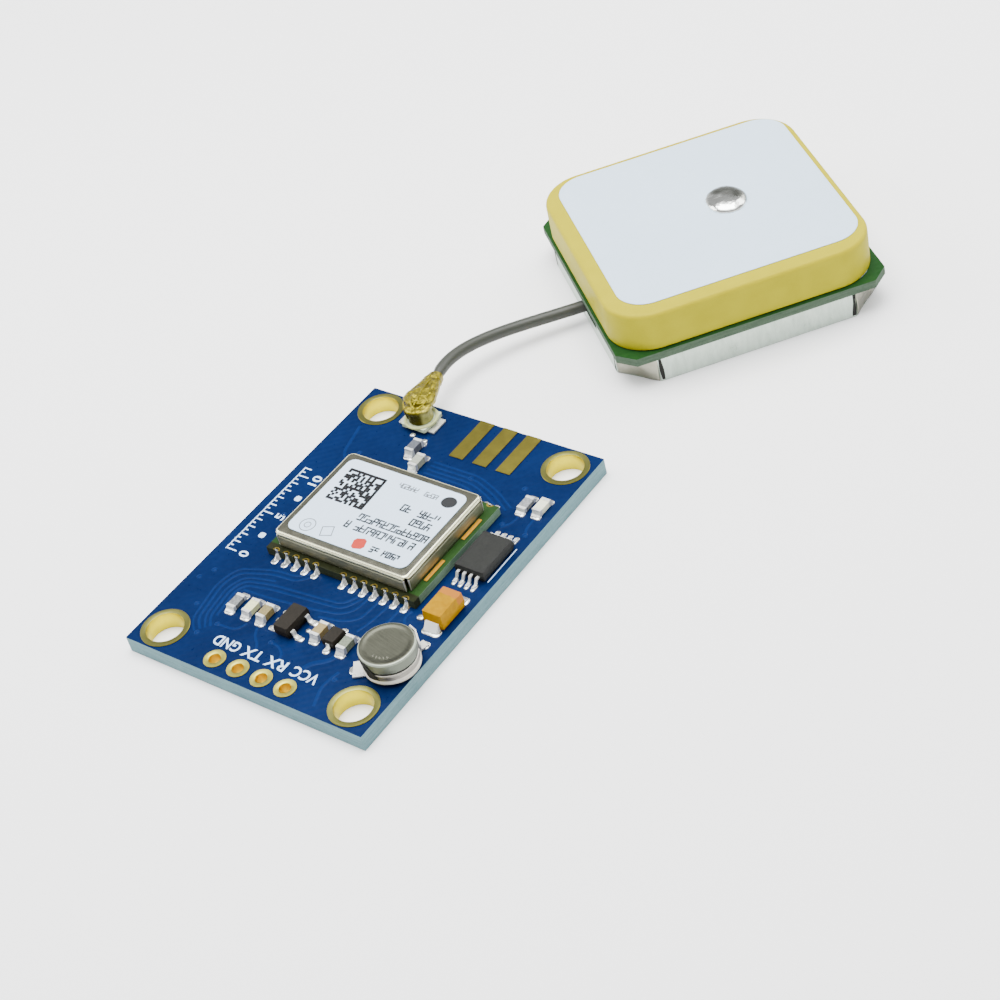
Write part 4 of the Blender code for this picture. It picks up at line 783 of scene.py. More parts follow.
cover_finish = Finish("cover_sheet", (0.6, 0.58, 0.45), 0.26, 0.85)
place = cover_finish.place(height=COVER_HIGH[2])
z = cover_finish.split(place)[2]
wander = cover_finish.noise(place, 0.9, 2.0)
streak = cover_finish.noise(cover_finish.stretched(place, (0.6, 0.6, 7.0)), 1.0, 2.0)
# The sheet is one metal, but its colour is set by direction and height as painted light: the roll
# is painted near white as a highlight, the shallow line under it is painted dark as a shadow, and
# the flat top and the wall get darker tones as painted reflections. The wall's tone also streaks
# downwards.
flat_top = cover_finish.upward().between(0.93, 0.995)
on_roll = z.between(-0.34, -0.26)
line = z.between(-0.44, -0.38) * (1 - z.between(-0.36, -0.3))
wall_streaks_and_painted_reflection = cover_finish.mix(streak * 1.4 - 0.2, (0.2, 0.2, 0.125), (0.36, 0.36, 0.25))
painted_roll_highlight = cover_finish.mix(wander, (0.9, 0.9, 0.62), (0.78, 0.78, 0.5))
top_painted_reflection = cover_finish.mix(wander * 1.4 - 0.2, (0.13, 0.13, 0.098), (0.205, 0.2, 0.15))
lit_and_shaded_sheet = cover_finish.mix(flat_top, cover_finish.mix(on_roll, wall_streaks_and_painted_reflection, painted_roll_highlight), top_painted_reflection)
cover_finish.dress(cover_finish.mix(line * 0.8, lit_and_shaded_sheet, (0.06, 0.06, 0.035)),
                   wander.about(0.42, 0.12) - on_roll * 0.2, wander + streak * 0.4, 0.003)
cover.mesh("cover_shell", cover_finish, "cover_sheet", ["module_cover"], sharp=40,
           sheet=(COVER_SHEET, -1.0))

# %% [markdown]
# At every corner the sheet's ends curl out a little on both sides of the slit, and their raw
# edges are bright. Each is a short strip, bent along a half circle and carried down the wall.

# %% Curled lips at the cover's slits
def curled_lip(corner, side):
    """A narrow strip down the slit's edge: a half-round section whose radius fades downwards."""
    fall = np.linspace(0.0, 1.0, 9)[:, None]
    angle = np.linspace(-0.5 * math.pi, 0.6 * math.pi, 7)
    radius = 0.075 * (1 - 0.5 * fall)
    out = unit(corner)
    along = np.array([-out[1], out[0]]) * side
    middle = COVER_MID + corner * (COVER_SIZE / 2 - COVER_CORNER) + out * 0.575 + along * 0.21
    return together(middle[0] + radius * (np.cos(angle) * out[0] - np.sin(angle) * along[0]),
                    middle[1] + radius * (np.cos(angle) * out[1] - np.sin(angle) * along[1]),
                    COVER_HIGH[2] - 0.4 - fall * (tall - 0.5))[:, ::side]


lips = Shape()
for corner in ((-1, -1), (-1, 1), (1, -1), (1, 1)):
    for side in (-1, 1):
        lips.capped(curled_lip(np.array(corner, float), side), wrap=False)
lips.mesh("cover_lips", tin, "cover_sheet", sharp=60)

# %% [markdown]
# ## Backup cell
# The small cell is two pressed cups with a black seal between them. Pressing leaves soft round
# edges and the flat top is brushed in one direction. Each cup is a profile turned in fine
# steps, so its outline stays round, and the brushing is noise stretched along one line.

# %% Backup cell
CELL_MID = middle_of("cell_can")
CELL_R = CELL_MID[0] - box_mm("cell_can")[0][0]
can_low, can_high = heights_of("cell_can")
seal_low = heights_of("cell_gasket")[0]
lid_low, lid_high = heights_of("cell_cap")
LID_FACE, LID_FOOT = lid_high - 0.035, lid_low - 0.42


def cell_finish(name, top, wall, deep):
    """Pressed steel: brushed where it faces up, plainer on its wall, with a painted highlight round
    its rim.
    """
    finish = Finish(name, wall, 0.28, 1.0)
    place = finish.place(CELL_MID, math.radians(-12.0))
    brushed = finish.noise(finish.stretched(place, (0.7, 9.0, 1.0)), 1.0, 3.0, 0.7)
    blot = finish.noise(place, 0.9, 2.0)
    upward = finish.upward()
    up = upward.between(0.9, 0.995)
    top_colour = finish.mix(brushed * 0.9 + blot * 0.5 - 0.2, deep, top)
    plain = finish.mix(blot, wall, scaled(wall, 0.8))
    # Where the wall turns upwards it is painted 2.6 times lighter: a painted highlight on the rim.
    wall_with_painted_rim_highlight = finish.mix(upward.between(0.05, 0.5), plain, scaled(wall, 2.6))
    finish.dress(finish.mix(up, wall_with_painted_rim_highlight, top_colour), brushed.about(-0.14, 0.3) * up + 0.5,
                 brushed * up + blot * 0.4, 0.006)
    return finish


lid_finish = cell_finish("cell_lid_steel", (0.097, 0.1, 0.075), (0.14, 0.155, 0.125),
                         (0.053, 0.054, 0.042))
cup_finish = cell_finish("cell_cup_steel", (0.5, 0.5, 0.46), (0.27, 0.255, 0.225),
                         (0.4, 0.42, 0.4))
lid_profile = np.concatenate([
    [(0.3, LID_FOOT), (CELL_R - 0.3, LID_FOOT)],
    round_corner((CELL_R - 0.12, LID_FOOT + 0.08), 0.08, 270.0, 360.0, 4),
    round_corner((CELL_R - 0.2, lid_high - 0.2), 0.2, 0.0, 90.0),
    [(CELL_R - 0.42, lid_high), (CELL_R - 0.52, lid_high - 0.03), (CELL_R - 0.75, LID_FACE),
     (1.0, LID_FACE), (0.3, LID_FACE)]])
cup_profile = np.concatenate([
    [(0.3, can_low), (CELL_R - 0.25, can_low)],
    round_corner((CELL_R - 0.17, can_low + 0.17), 0.17, 270.0, 420.0, 9),
    [(CELL_R - 0.14, can_low + 0.5), (CELL_R - 0.07, can_high - 0.3)],
    round_corner((CELL_R - 0.13, can_high - 0.06), 0.06, 0.0, 90.0, 4),
    [(CELL_R - 0.3, can_high), (0.3, can_high)]])
seal_profile = [(0.3, seal_low), (CELL_R - 0.13, seal_low),
                (CELL_R - 0.15, (seal_low + LID_FOOT) / 2), (CELL_R - 0.13, LID_FOOT),
                (0.3, LID_FOOT)]
turned_piece(lid_profile, 96, CELL_MID, "cell_lid", lid_finish, "cell_steel", ["cell_cap"])
turned_piece(cup_profile, 96, CELL_MID, "cell_cup", cup_finish, "cell_steel", ["cell_can"])
turned_piece(seal_profile, 96, CELL_MID, "cell_seal", gasket, "gasket_black", ["cell_gasket"])

# %% [markdown]
# The near tab is welded under the cup and comes out beside it. The shadow between the tab and
# the wall is painted: a thin black strip laid on the wall as a dark slanting mark.

# %% Painted shadow behind the near tab
TAB_SHADOW_AT, TAB_SHADOW_HALF, TAB_SHADOW_SLANT, TAB_SHADOW_THICK = math.radians(261.0), 0.2, 0.46, 0.04
TAB_SHADOW_LOW, TAB_SHADOW_HIGH, TAB_SHADOW_R = can_low + 0.65, lid_high - 0.2, CELL_R + 0.03
rise = np.linspace(0.0, 1.0, 5)[:, None]
bearing = TAB_SHADOW_AT + np.linspace(-TAB_SHADOW_HALF, TAB_SHADOW_HALF, 11) + TAB_SHADOW_SLANT * (0.5 - rise)
tab_shadow = Shape()
tab_shadow.grid(together(CELL_MID[0] + TAB_SHADOW_R * np.cos(bearing), CELL_MID[1] + TAB_SHADOW_R * np.sin(bearing),
                   TAB_SHADOW_LOW + rise * (TAB_SHADOW_HIGH - TAB_SHADOW_LOW)))
tab_shadow.mesh("cell_tab_shadow", gasket, "gasket_black", sharp=60, sheet=(TAB_SHADOW_THICK, 0.0))

# %% [markdown]
# ## Ceramic tile and its feed
# The tile is pressed powder, fired hard: its side is matt, its top edge is rounded by the die,
# and the light that edge catches is a painted highlight. The feed pin ends in a low dome of
# solder that set slightly lopsided.

# %% Ceramic tile and its feed
TILE_SIZE, TILE_CORNER, TILE_MID = (25.0, 24.9), 4.1, (-0.14, -0.12)
FILM_SIZE, FILM_CORNER, FILM_MID = (22.85, 22.6), 2.8, (0.32, 0.4)
tile_low, tile_high = heights_of("antenna_ceramic")
film_low, film_high = heights_of("antenna_electrode")
feed_low, feed_high = heights_of("antenna_feed_pin")


def on_antenna(points):
    """Turn points of the antenna's own square by its angle and carry them to its place."""
    return carried(points, ANTENNA_TURN, ANTENNA_AT)


insets, heights = np.concatenate([
    [(0.14, tile_low), (0.03, tile_low + 0.05), (0.0, tile_low + 0.15), (0.0, tile_low + 1.6)],
    round_corner((0.45, tile_high - 0.45), 0.45, 180.0, 90.0, 9) * (0.68, 1.0),
    [(1.2, tile_high)]]).T
tile = Shape()
tile.capped(on_antenna(inset_rings(TILE_SIZE, TILE_CORNER, 20, TILE_MID, insets, heights)))
ceramic = Finish("fired_ceramic", (0.54, 0.47, 0.02), 0.5, gloss=0.06)
place = ceramic.place(ANTENNA_AT, ANTENNA_TURN, tile_high)
z = ceramic.split(place)[2]
fine = ceramic.noise(place, 7.0, 3.0, 0.6)
blot = ceramic.noise(place, 0.5)
body = ceramic.mix(fine * 0.5 + blot * 0.9 - 0.25, (0.3, 0.265, 0.004), (0.41, 0.365, 0.008))
# A band along the rounded top edge is painted lighter: a painted highlight.
edge = z.between(-0.5, -0.05) * (1 - z.between(-0.03, 0.0) * 0.4)
ceramic.dress(ceramic.mix(edge * 0.6, body, (0.4, 0.335, 0.004)), fine.about(0.48, 0.2),
              fine + blot, 0.006)
tile.mesh("ceramic_tile", ceramic, "ceramic_cream", ["antenna_ceramic"])

electrode = Shape()
electrode.capped(on_antenna(inset_rings(FILM_SIZE, FILM_CORNER, 14, FILM_MID, (0, 0, 0.03, 0.12),
                                        (film_low, film_low + 0.02, film_low + 0.04, film_high))))
electrode.mesh("electrode_film", silver_film, "electrode_silver", ["antenna_electrode"], sharp=60)

FEED_MID, DOME_R, DOME_RISE, DOME_LOW = (2.5, 0.45), 1.98, 0.6, feed_high - 0.45
around = full_turn(80)
share = np.array([1.0, 0.985, 0.95, 0.88, 0.78, 0.64, 0.48, 0.3, 0.12])[:, None]
rise = np.array([0.0, 0.2, 0.38, 0.56, 0.72, 0.86, 0.95, 0.99, 1.0])[:, None]
radius = DOME_R * share * (1 + 0.04 * np.cos(2 * around - 3.4) + 0.012 * np.cos(5 * around))
lean = 1 - 0.16 * share * np.cos(around - 2.2) * (1 - share) * 4
dome = together(FEED_MID[0] + radius * np.cos(around),
                FEED_MID[1] - 0.14 * share + radius * 1.05 * np.sin(around),
                DOME_LOW + DOME_RISE * rise * np.clip(lean, 0.0, 1.0))
pin_at = on_antenna(FEED_MID)
feed = Shape()
feed.capped(on_antenna(dome))
feed.capped(turned([(0.3, feed_low), (0.45, feed_low + 0.15), (0.45, DOME_LOW)], 32, pin_at))
feed_finish = Finish("feed_solder", (0.9, 0.92, 0.88), 0.1, 1.0)
place = feed_finish.place(pin_at, ANTENNA_TURN, DOME_LOW)
x, y, _ = feed_finish.split(place)
blot = feed_finish.noise(place, 0.9, 3.0, 0.6)
# One side of the dome is painted near white as a highlight; the other is painted dark grey with
# rings as a painted reflection.
side = (y * 0.85 + x * 0.75 + blot.about(0.0, 1.4)).between(-0.5, 0.35)
band = ((x * x + y * y) ** 0.5 * 4.2).sine() * 0.5 + 0.5
painted_dark_reflection = feed_finish.mix(band, (0.17, 0.175, 0.155), (0.34, 0.35, 0.32))
feed_finish.dress(feed_finish.mix(side, (0.92, 0.94, 0.9), painted_dark_reflection), side * 0.15 + 0.1, blot, 0.08)
feed.mesh("feed_dome", feed_finish, "feed_solder", ["antenna_feed_pin"], sharp=50)

# %% [markdown]
# ## Antenna shield
# The shield is a tray folded from tinned sheet. Its walls are nearly white, with faint wavy
# dents and rubbed streaks. The solid keeps its shape and only gets its finish.

# %% Antenna shield
shield = Finish("shield_sheet", (0.6, 0.68, 0.62), 0.3, 1.0)
place = shield.place(ANTENNA_AT, ANTENNA_TURN)
broad = shield.noise(place, 0.35, 3.0, 0.6)
fine = shield.noise(shield.stretched(place, (1.6, 1.6, 0.35)), 1.4, 3.0, 0.7)
shield.dress(shield.mix(fine * 1.2 + broad.about(-0.1, 0.6), (0.33, 0.39, 0.34),
                        (0.55, 0.63, 0.56)),
             fine.about(0.32, 0.3), broad * 3.0 + fine, 0.03)
wear(["antenna_shield"], shield)

# %% [markdown]
# The tray's corners are cut off and closed by a plate, with an open seam on both sides of it.
# The shade in each seam is painted: a black bar that leans and swells a little. The plate was
# pushed in by hand, so it is a thin sheet with a fold across it, made once and turned to the
# four corners.

# %% Seam shadows and creases of the shield
SHIELD_HALF, SHIELD_CUT, SEAM_AWAY, PLATE_THICK = 12.6, 3.25, 0.14, 0.06
u = np.linspace(-1.0, 1.0, 25) * np.ones((13, 1))
v = np.linspace(0.0, 1.0, 13)[:, None]
fold = 0.22 * np.abs(v - 0.62 + 0.3 * np.abs(u + 0.2)) - 0.06 * np.exp(-(u - 0.5) ** 2 / 0.1)
spread = 2.12 * u / math.sqrt(2)
lift = SHIELD_HALF - SHIELD_CUT / 2 + (0.1 - fold) / math.sqrt(2)
plate = together(lift - spread, lift + spread, 0.05 + 2.5 * v)
height = np.linspace(0.15, 2.55, 8)[:, None]
depth = SHIELD_HALF + np.array([-0.05, 0.012, 0.012, -0.05])
seam_shadows, creases = Shape(), Shape()
for quarter in range(4):
    turn = quarter * math.pi / 2
    for side in (-1, 1):
        middle = side * (SHIELD_HALF - SHIELD_CUT - SEAM_AWAY + 0.05 * (height - 1.3))
        half = 0.16 + 0.04 * np.sin(2.2 * height + side)
        strip = together(depth, middle + half * (-1, -1, 1, 1), height)
        seam_shadows.capped(on_antenna(carried(strip, turn)))
    creases.grid(on_antenna(carried(plate, turn)))
seam_shadows.mesh("shield_seam_shadows", gasket, "shield_sheet", sharp=30)
corner_sheet = metal_finish("corner_sheet", (0.42, 0.42, 0.34), (0.12, 0.11, 0.08), 0.3, 0.9, 0.02)
creases.mesh("shield_corners", corner_sheet, "shield_sheet", sharp=80, sheet=(PLATE_THICK, 0.0))

# %% [markdown]
# ## Coax lead
# The lead is a thin coax in a grey jacket, held at both ends: crimped in the plug, soldered in
# the shield. Its route is the solid's own: straight out of the plug, one free curve, straight
# in. A curve object would do, but a tube carried along the sampled curve has clean round rings,
# and its radius can shrink where the crimp squeezes the jacket. The jacket is drawn a little
# thicker than its solid, as the photograph shows it.

# %% Coax lead
LEAD_R, CRIMPED_R = 0.57, 0.46
LEAD_FROM, LEAD_TO = np.array([-6.823, 19.673, 2.915]), np.array([-0.742, 34.703, 1.75])
IN_CRIMP, PULL_OUT, PULL_IN, PAST_WALL = (-5.96, 16.936, 2.915), 5.2, 6.45, 2.6


def heading(angle):
    """A level direction of length one: the cosine and the sine of its angle."""
    return np.array([math.cos(angle), math.sin(angle), 0.0])


def between_ends(start, pull_start, pull_end, end, count):
    """Points of a cubic curve: the four given points mixed by the powers of t and 1 - t."""
    t = np.linspace(0.0, 1.0, count)[:, None]
    s = 1 - t
    return start * s ** 3 + 3 * pull_start * s * s * t + 3 * pull_end * s * t * t + end * t ** 3


way_out, way_in = heading(math.radians(110.0)), heading(ANTENNA_TURN)
curve = between_ends(LEAD_FROM, LEAD_FROM + PULL_OUT * way_out, LEAD_TO - PULL_IN * way_in,
                     LEAD_TO, 70)
lead_path = np.concatenate([[IN_CRIMP], curve, [LEAD_TO + PAST_WALL * way_in]])
lead_radii = np.interp(np.arange(len(lead_path)), [1, 5], [CRIMPED_R, LEAD_R])
lead = Shape()
lead.capped(tube(lead_path, lead_radii, 24))
lead.mesh("lead_tube", jacket, "lead_jacket", ["coax_lead"])

# %% [markdown]
# ## Coax plug
# The plug is thin gold plated sheet: a cup that grips the socket, a rolled opening over the
# contact, and a barrel folded round the lead and crimped. Pressing it by hand leaves it dented,
# wider on one side, and bright and dark in patches. The barrel is a loft whose cross-section is
# a superellipse with its own width to each side, and sums of sines dent cup and barrel alike.
# In the photograph the sheet stands a little higher than its solid, which is what the lift adds.

# %% Coax plug
PLUG_LIFT, PLUG_TURN, RUN_MEAN = 0.28, math.radians(107.5), 9
PLUG_FOOT, PLUG_TOP = heights_of("plug_shell") + np.array([0.0, PLUG_LIFT])
SOCKET_MID = middle_of("socket_base")
REACH = np.linspace(0.15, 4.85, 110)[:, None]
STOPS = [0.15, 0.5, 1.2, 1.9, 2.8, 3.6, 4.3, 4.85]

plug_finish = Finish("plug_gold", (0.6, 0.45, 0.03), 0.34, 1.0)
place = plug_finish.place(SOCKET_MID, PLUG_TURN)
x, y, z = plug_finish.split(place)
patch = plug_finish.noise(place, 1.7, 3.0, 0.7)
fine = plug_finish.noise(place, 5.5, 3.0, 0.6)
bright = plug_finish.mix(patch * 1.9 + fine.about(-0.45, 0.8), (0.07, 0.056, 0.006),
                         (0.35, 0.295, 0.022))
# Low on the plug, on the side away from the lead, the gold gives way to painted light: a cream
# painted highlight on the side towards -Y and a dark painted shade elsewhere.
shade = (1 - z.between(3.25, 3.78)) * (1 - x.between(0.2, 0.95))
painted_highlight_and_shade = plug_finish.mix((-y).between(0.35, 0.75), (0.055, 0.045, 0.006), (0.5, 0.47, 0.2))
plug_finish.dress(plug_finish.mix(shade * 0.9, bright, painted_highlight_and_shade), fine.about(0.34, 0.3),
                  patch * 2.0 + fine, 0.06)


def on_plug(points):
    """Carry points of the plug's own frame, whose X runs along the lead, to the socket."""
    return carried(points, PLUG_TURN, SOCKET_MID)


def softened(values):
    """Straight runs between the values at the stops, softened by a running mean."""
    straight = np.pad(np.interp(REACH[:, 0], STOPS, values), RUN_MEAN // 2, mode="edge")
    return np.convolve(straight, np.ones(RUN_MEAN) / RUN_MEAN, mode="valid")[:, None]


left = softened([1.15, 1.6, 1.95, 1.9, 1.46, 1.24, 0.94, 0.66])
right = softened([1.0, 1.15, 1.18, 1.06, 0.86, 0.72, 0.62, 0.6])
top = softened([PLUG_TOP - 0.12, PLUG_TOP, PLUG_TOP, PLUG_TOP, PLUG_TOP - 0.05, PLUG_TOP - 0.12,
                3.62, 3.56])
foot = softened([3.1, 2.95, 2.75, 2.55, 2.42, 2.34, 2.3, 2.3])
around = full_turn(96)
c, s = np.cos(around), np.sin(around)
calm = np.clip((4.6 - REACH) / 1.2, 0.12, 1.0)
dent = calm * (0.075 * np.sin(6.0 * around + 2.2 * np.sin(1.6 * REACH))
               + 0.045 * np.sin(11.0 * around + 3.1 * REACH)
               + 0.05 * np.sin(3.3 * REACH + 2.0 * around + 0.6))
collar = 0.06 * np.exp(-((REACH - 4.2) / 0.1) ** 2) - 0.05 * np.exp(-((REACH - 3.95) / 0.12) ** 2)
y = (np.sign(c) * np.abs(c) ** 0.75 * np.where(c > 0, left, right)
     * (1 - 0.35 * (dent + 0.05 * calm) + collar))
z = (top + foot) / 2 + (np.sign(s) * np.abs(s) ** 0.7 * (top - foot) / 2
                        * (1 - np.abs(dent) * 1.1 + np.minimum(collar, 0.0)))
plug_sheet = Shape()
plug_sheet.capped(on_plug(together(REACH, y, z))[:, ::-1])

cup = turned([(1.07, PLUG_FOOT + 0.4), (1.07, PLUG_FOOT), (1.16, PLUG_FOOT),
              (1.13, PLUG_FOOT + 0.2), (1.12, PLUG_TOP - 0.75), (1.2, PLUG_TOP - 0.4),
              (1.26, PLUG_TOP - 0.22), (1.18, PLUG_TOP - 0.06), (0.98, PLUG_TOP - 0.02),
              (0.7, PLUG_TOP - 0.08), (0.52, PLUG_TOP - 0.03), (0.42, PLUG_TOP),
              (0.34, PLUG_TOP - 0.05), (0.32, PLUG_TOP - 0.3)], 120, (0.0, 0.0))
bearing = full_turn(120)
loose = np.clip((cup[..., 2] - PLUG_FOOT) / 0.9, 0.0, 1.0)
swell = 1 + loose * (0.03 * np.sin(3 * bearing + 1.0) + 0.025 * np.sin(8 * bearing)
                     + 0.015 * np.sin(17 * bearing))
cup[..., :2] *= swell[..., None]
cup[..., 2] -= loose * (0.05 + 0.05 * np.sin(5 * bearing + 0.5))
plug_sheet.grid(on_plug(cup)[:, ::-1], wrap_columns=True)
plug_sheet.mesh("plug_sheet", plug_finish, "contact_gold", ["plug_shell"], sharp=70)

mouth_shadow = Finish("plug_mouth_shadow", (0.045, 0.034, 0.002), 0.7, 1.0)
turned_piece([(0.37, PLUG_TOP - 0.25), (0.37, PLUG_TOP - 0.19), (0.05, PLUG_TOP - 0.19)], 32,
             SOCKET_MID, "plug_mouth", mouth_shadow, "contact_gold", sharp=30)

# %% [markdown]
# The socket's plastic foot shows below the cup as a soft ring: a small circle, a little flat,
# turned about the socket's axis. The sheet's free edges curl where it was folded over the
# opening. Each curl is a tube along a short bent path, thick in its middle, thin at its ends.

# %% Foot ring and curls of the plug's sheet
FOOT_RING, FOOT_THICK, FOOT_FLAT = 1.44, 0.17, 0.9
CURLS = (
    (0.13, ((0.5, 1.6, 3.6), (-0.1, 1.42, 3.62), (-0.55, 1.12, 3.3), (-0.8, 0.88, 2.7))),
    (0.1, ((0.55, -0.7, 3.76), (0.1, -0.62, 3.74), (-0.35, -0.42, 3.72), (-0.55, 0.0, 3.7))),
    (0.1, ((0.75, 0.9, 3.8), (0.3, 0.75, 3.8), (-0.2, 0.62, 3.72), (-0.55, 0.35, 3.68))),
    (0.07, ((0.6, 0.2, 3.82), (1.4, 0.35, 3.8), (2.4, 0.25, 3.76), (3.6, 0.05, 3.7))),
    (0.07, ((0.9, -0.55, 3.8), (1.7, -0.45, 3.78), (2.5, -0.4, 3.74), (3.4, -0.25, 3.68))))
angle = full_turn(10)
profile = together(FOOT_RING + FOOT_THICK * np.cos(angle),
                   heights_of("socket_base")[1] - 0.02 + FOOT_FLAT * FOOT_THICK * np.sin(angle))
foot_ring = Shape()
foot_ring.grid(turned(profile, 40, SOCKET_MID), wrap_rows=True, wrap_columns=True)
foot_ring.mesh("socket_foot_ring", insulator, "socket_plastic")
folds = Shape()
for thick, corners in CURLS:
    path = between_ends(*np.array(corners), 18)
    folds.capped(tube(on_plug(path), thick * (1 - 0.65 * np.linspace(-1.0, 1.0, 18) ** 2), 10))
folds.mesh("plug_folds", plug_finish, "contact_gold", sharp=60)

# %% [markdown]
# ## Tracks under the lacquer
# Copper tracks show through the lacquer as slightly lighter, slightly raised lines. They could be
# painted by a shader, but then each bend costs nodes. Here each is a low flat-topped profile
# carried along its path, and the same lacquer colour, a little lighter, covers it.

# %% Tracks under the lacquer
TRACK_BEND, TRACK_STEP, VIA_R = 0.8, 0.12, 0.26
OUTER_RUN = [(-7.3, -13.8), (-8.3, -12.9), (-9.04, -9.0), (-8.6, -7.2), (-5.72, -6.1),
             (-3.15, -5.9), (-2.2, -4.9)]
INNER_RUN = [(-6.67, -13.2), (-7.5, -12.2), (-7.95, -9.0), (-7.38, -7.7), (-4.8, -7.09),
             (0.13, -6.6), (2.3, -6.36), (3.0, -4.9)]
FAR_RUN = [(-1.2, 11.1), (3.9, 11.1), (6.6, 10.1), (8.7, 8.9)]
VIAS = ((-9.6, -11.6), (-7.3, -14.2), (-0.6, -12.4), (-6.3, -12.7), (6.4, -7.9), (7.0, -13.4),
        (-8.3, 9.4), (8.4, 11.4), (3.2, 10.6), (-9.6, 0.2), (-8.6, 8.4), (11.7, 6.6),
        (-11.6, -9.0), (-10.9, -7.8), (9.1, 7.0))


def smooth_path(corners):
    """Points along straight runs whose corners are rounded by quadratic curves."""
    corners = np.asarray(corners, float)
    pieces = [corners[:1]]
    for before, here, after in zip(corners[:-2], corners[1:-1], corners[2:]):
        ways = np.array([before - here, after - here])
        reach = min(TRACK_BEND, *(0.45 * np.linalg.norm(ways, axis=1)))
        start, end = here + unit(ways) * reach
        t = np.linspace(0.0, 1.0, max(3, int(reach / TRACK_STEP)))[:, None]
        pieces.append(start * (1 - t) ** 2 + here * 2 * t * (1 - t) + end * t ** 2)
    return np.concatenate([*pieces, corners[-1:]])


def normals_of(ways):
    """Each way made length one and turned a quarter to its left."""
    return unit(ways)[:, ::-1] * (-1, 1)


def offset_path(corners, distance):
    """Move a path sideways: each corner goes along the mitre of its two neighbouring normals."""
    normal = normals_of(np.diff(corners, axis=0))
    first = np.concatenate([normal[:1], normal])
    mitre = unit(first + np.concatenate([normal, normal[-1:]]))
    stretch = 1.0 / np.clip((mitre * first).sum(1), 0.4, 1.0)
    return corners + mitre * (stretch * distance)[:, None]


def track(shape, corners, width=0.24, height=0.01, low=BOARD_TOP):
    """A flat-topped ridge: a four-point profile carried along the path, square to it."""
    path = smooth_path(corners)
    normal = normals_of(np.gradient(path, axis=0))
    across = np.array([-0.5, -0.36, 0.36, 0.5]) * width
    points = together(path[:, :1] - normal[:, :1] * across, path[:, 1:] - normal[:, 1:] * across,
                      low + np.array([0.0, height, height, 0.0]))
    shape.grid(points if height > 0 else points[:, ::-1])


def via(shape, x, y, height=0.03, low=BOARD_TOP):
    """A covered hole: a low ring that falls to a dimple in its middle."""
    rings = turned([(VIA_R, low), (VIA_R * 0.9, low + height), (VIA_R * 0.5, low + height),
                    (VIA_R * 0.3, low + height * 0.3)], 20, (x, y))
    shape.capped(rings if height > 0 else rings[:, ::-1])


TRACKS = (
    (0.24, OUTER_RUN), (0.2, offset_path(OUTER_RUN, 0.5)),
    (0.24, INNER_RUN), (0.24, offset_path(INNER_RUN, -0.5)[1:]),
    (0.2, offset_path(INNER_RUN, 0.46)[:-3]),
    (0.24, [(-6.9, -8.6), (-4.6, -8.5), (0.3, -7.9), (2.8, -7.4), (3.7, -6.5), (3.9, -4.9)]),
    (0.24, [(1.2, -8.4), (3.4, -8.0), (4.7, -7.2), (4.9, -4.9)]),
    (0.24, [(5.3, -8.4), (5.7, -7.2), (6.0, -4.9)]),
    (0.24, [(6.6, -8.0), (7.1, -6.4), (7.1, -4.9)]),
    (0.5, [(3.81, -14.9), (3.81, -13.0), (5.2, -12.0), (5.5, -11.3)]),
    (0.24, [(1.27, -14.9), (1.27, -13.2), (0.4, -12.5), (-0.4, -12.4)]),
    (0.24, [(-1.27, -14.9), (-1.27, -13.3), (-2.4, -12.4), (-2.8, -11.6)]),
    (0.24, [(-3.9, -11.6), (-4.4, -12.6), (-6.2, -12.7)]),
    (0.3, [(6.8, -12.6), (6.4, -14.4), (7.2, -16.4)]),
    (0.24, [(8.9, -6.6), (8.0, -5.4), (8.2, -4.6)]),
    (0.2, FAR_RUN), (0.2, offset_path(FAR_RUN, -0.5)), (0.2, offset_path(FAR_RUN, -1.0)),
    (0.2, [(-1.2, 9.6), (3.1, 9.6), (4.3, 9.3), (4.7, 8.7)]),
    (0.3, [(-3.6, 12.7), (-3.6, 13.6)]),
    (0.24, [(9.86, 8.4), (9.86, 7.4), (9.2, 6.6)]),
    (0.24, [(11.35, 8.6), (11.35, 7.2), (12.0, 6.4)]),
    (0.3, [(-10.6, 12.4), (-9.8, 9.0), (-9.0, 8.2)]))
track_mask = laminate_finish("mask_over_copper", (0.0016, 0.0128, 0.064), (0.0028, 0.02, 0.093),
                             (0.0032, 0.021, 0.1), (0.0032, 0.021, 0.1), 0.34, 0.05)
tracks = Shape()
for width, corners in TRACKS:
    track(tracks, corners, width)
for spot in VIAS:
    via(tracks, *spot)
tracks.mesh("mask_tracks", track_mask, "board_mask", sharp=80)

# %% [markdown]
# The underside has its own tracks from the four header holes to the parts above. It rests flat,
# so they stand out by only a hundredth of a millimetre.

# %% Tracks of the underside
under_runs = [(0.7, [(-10.2, -12.6), (-10.6, -2.0), (-9.2, 1.0), (-9.2, 12.6)]),
              (0.7, [(10.2, -12.6), (9.4, -9.0), (9.4, 9.0), (10.2, 12.6)]),
              (0.3, [(-5.3, 13.0), (-4.2, 10.4), (-1.0, 9.2), (4.0, 9.2)])]
under = Shape()
for number, pin_x in enumerate(HEADER_X):
    bend, far = -12.4 + 0.8 * number, 1.4 * number
    under_runs.append((0.4 if number in (0, 3) else 0.26,
                       [(pin_x, -14.9), (pin_x, bend), (pin_x - 1.6, bend + 1.6),
                        (pin_x - 1.6, 2.0 + far), (pin_x + 1.2, 5.0 + far)]))
    via(under, pin_x + 1.2, 5.0 + far, height=-0.014, low=0.0)
for width, corners in under_runs:
    track(under, corners, width, height=-0.012, low=0.0)
under.mesh("under_tracks", track_mask, "board_mask", sharp=80)

# %% [markdown]
# ## Solder lands
# Under every terminal the board has a tinned land, and solder runs out over it. Each land is a
# thin rounded plate with a low crown, made as one grid from its edge to its middle.

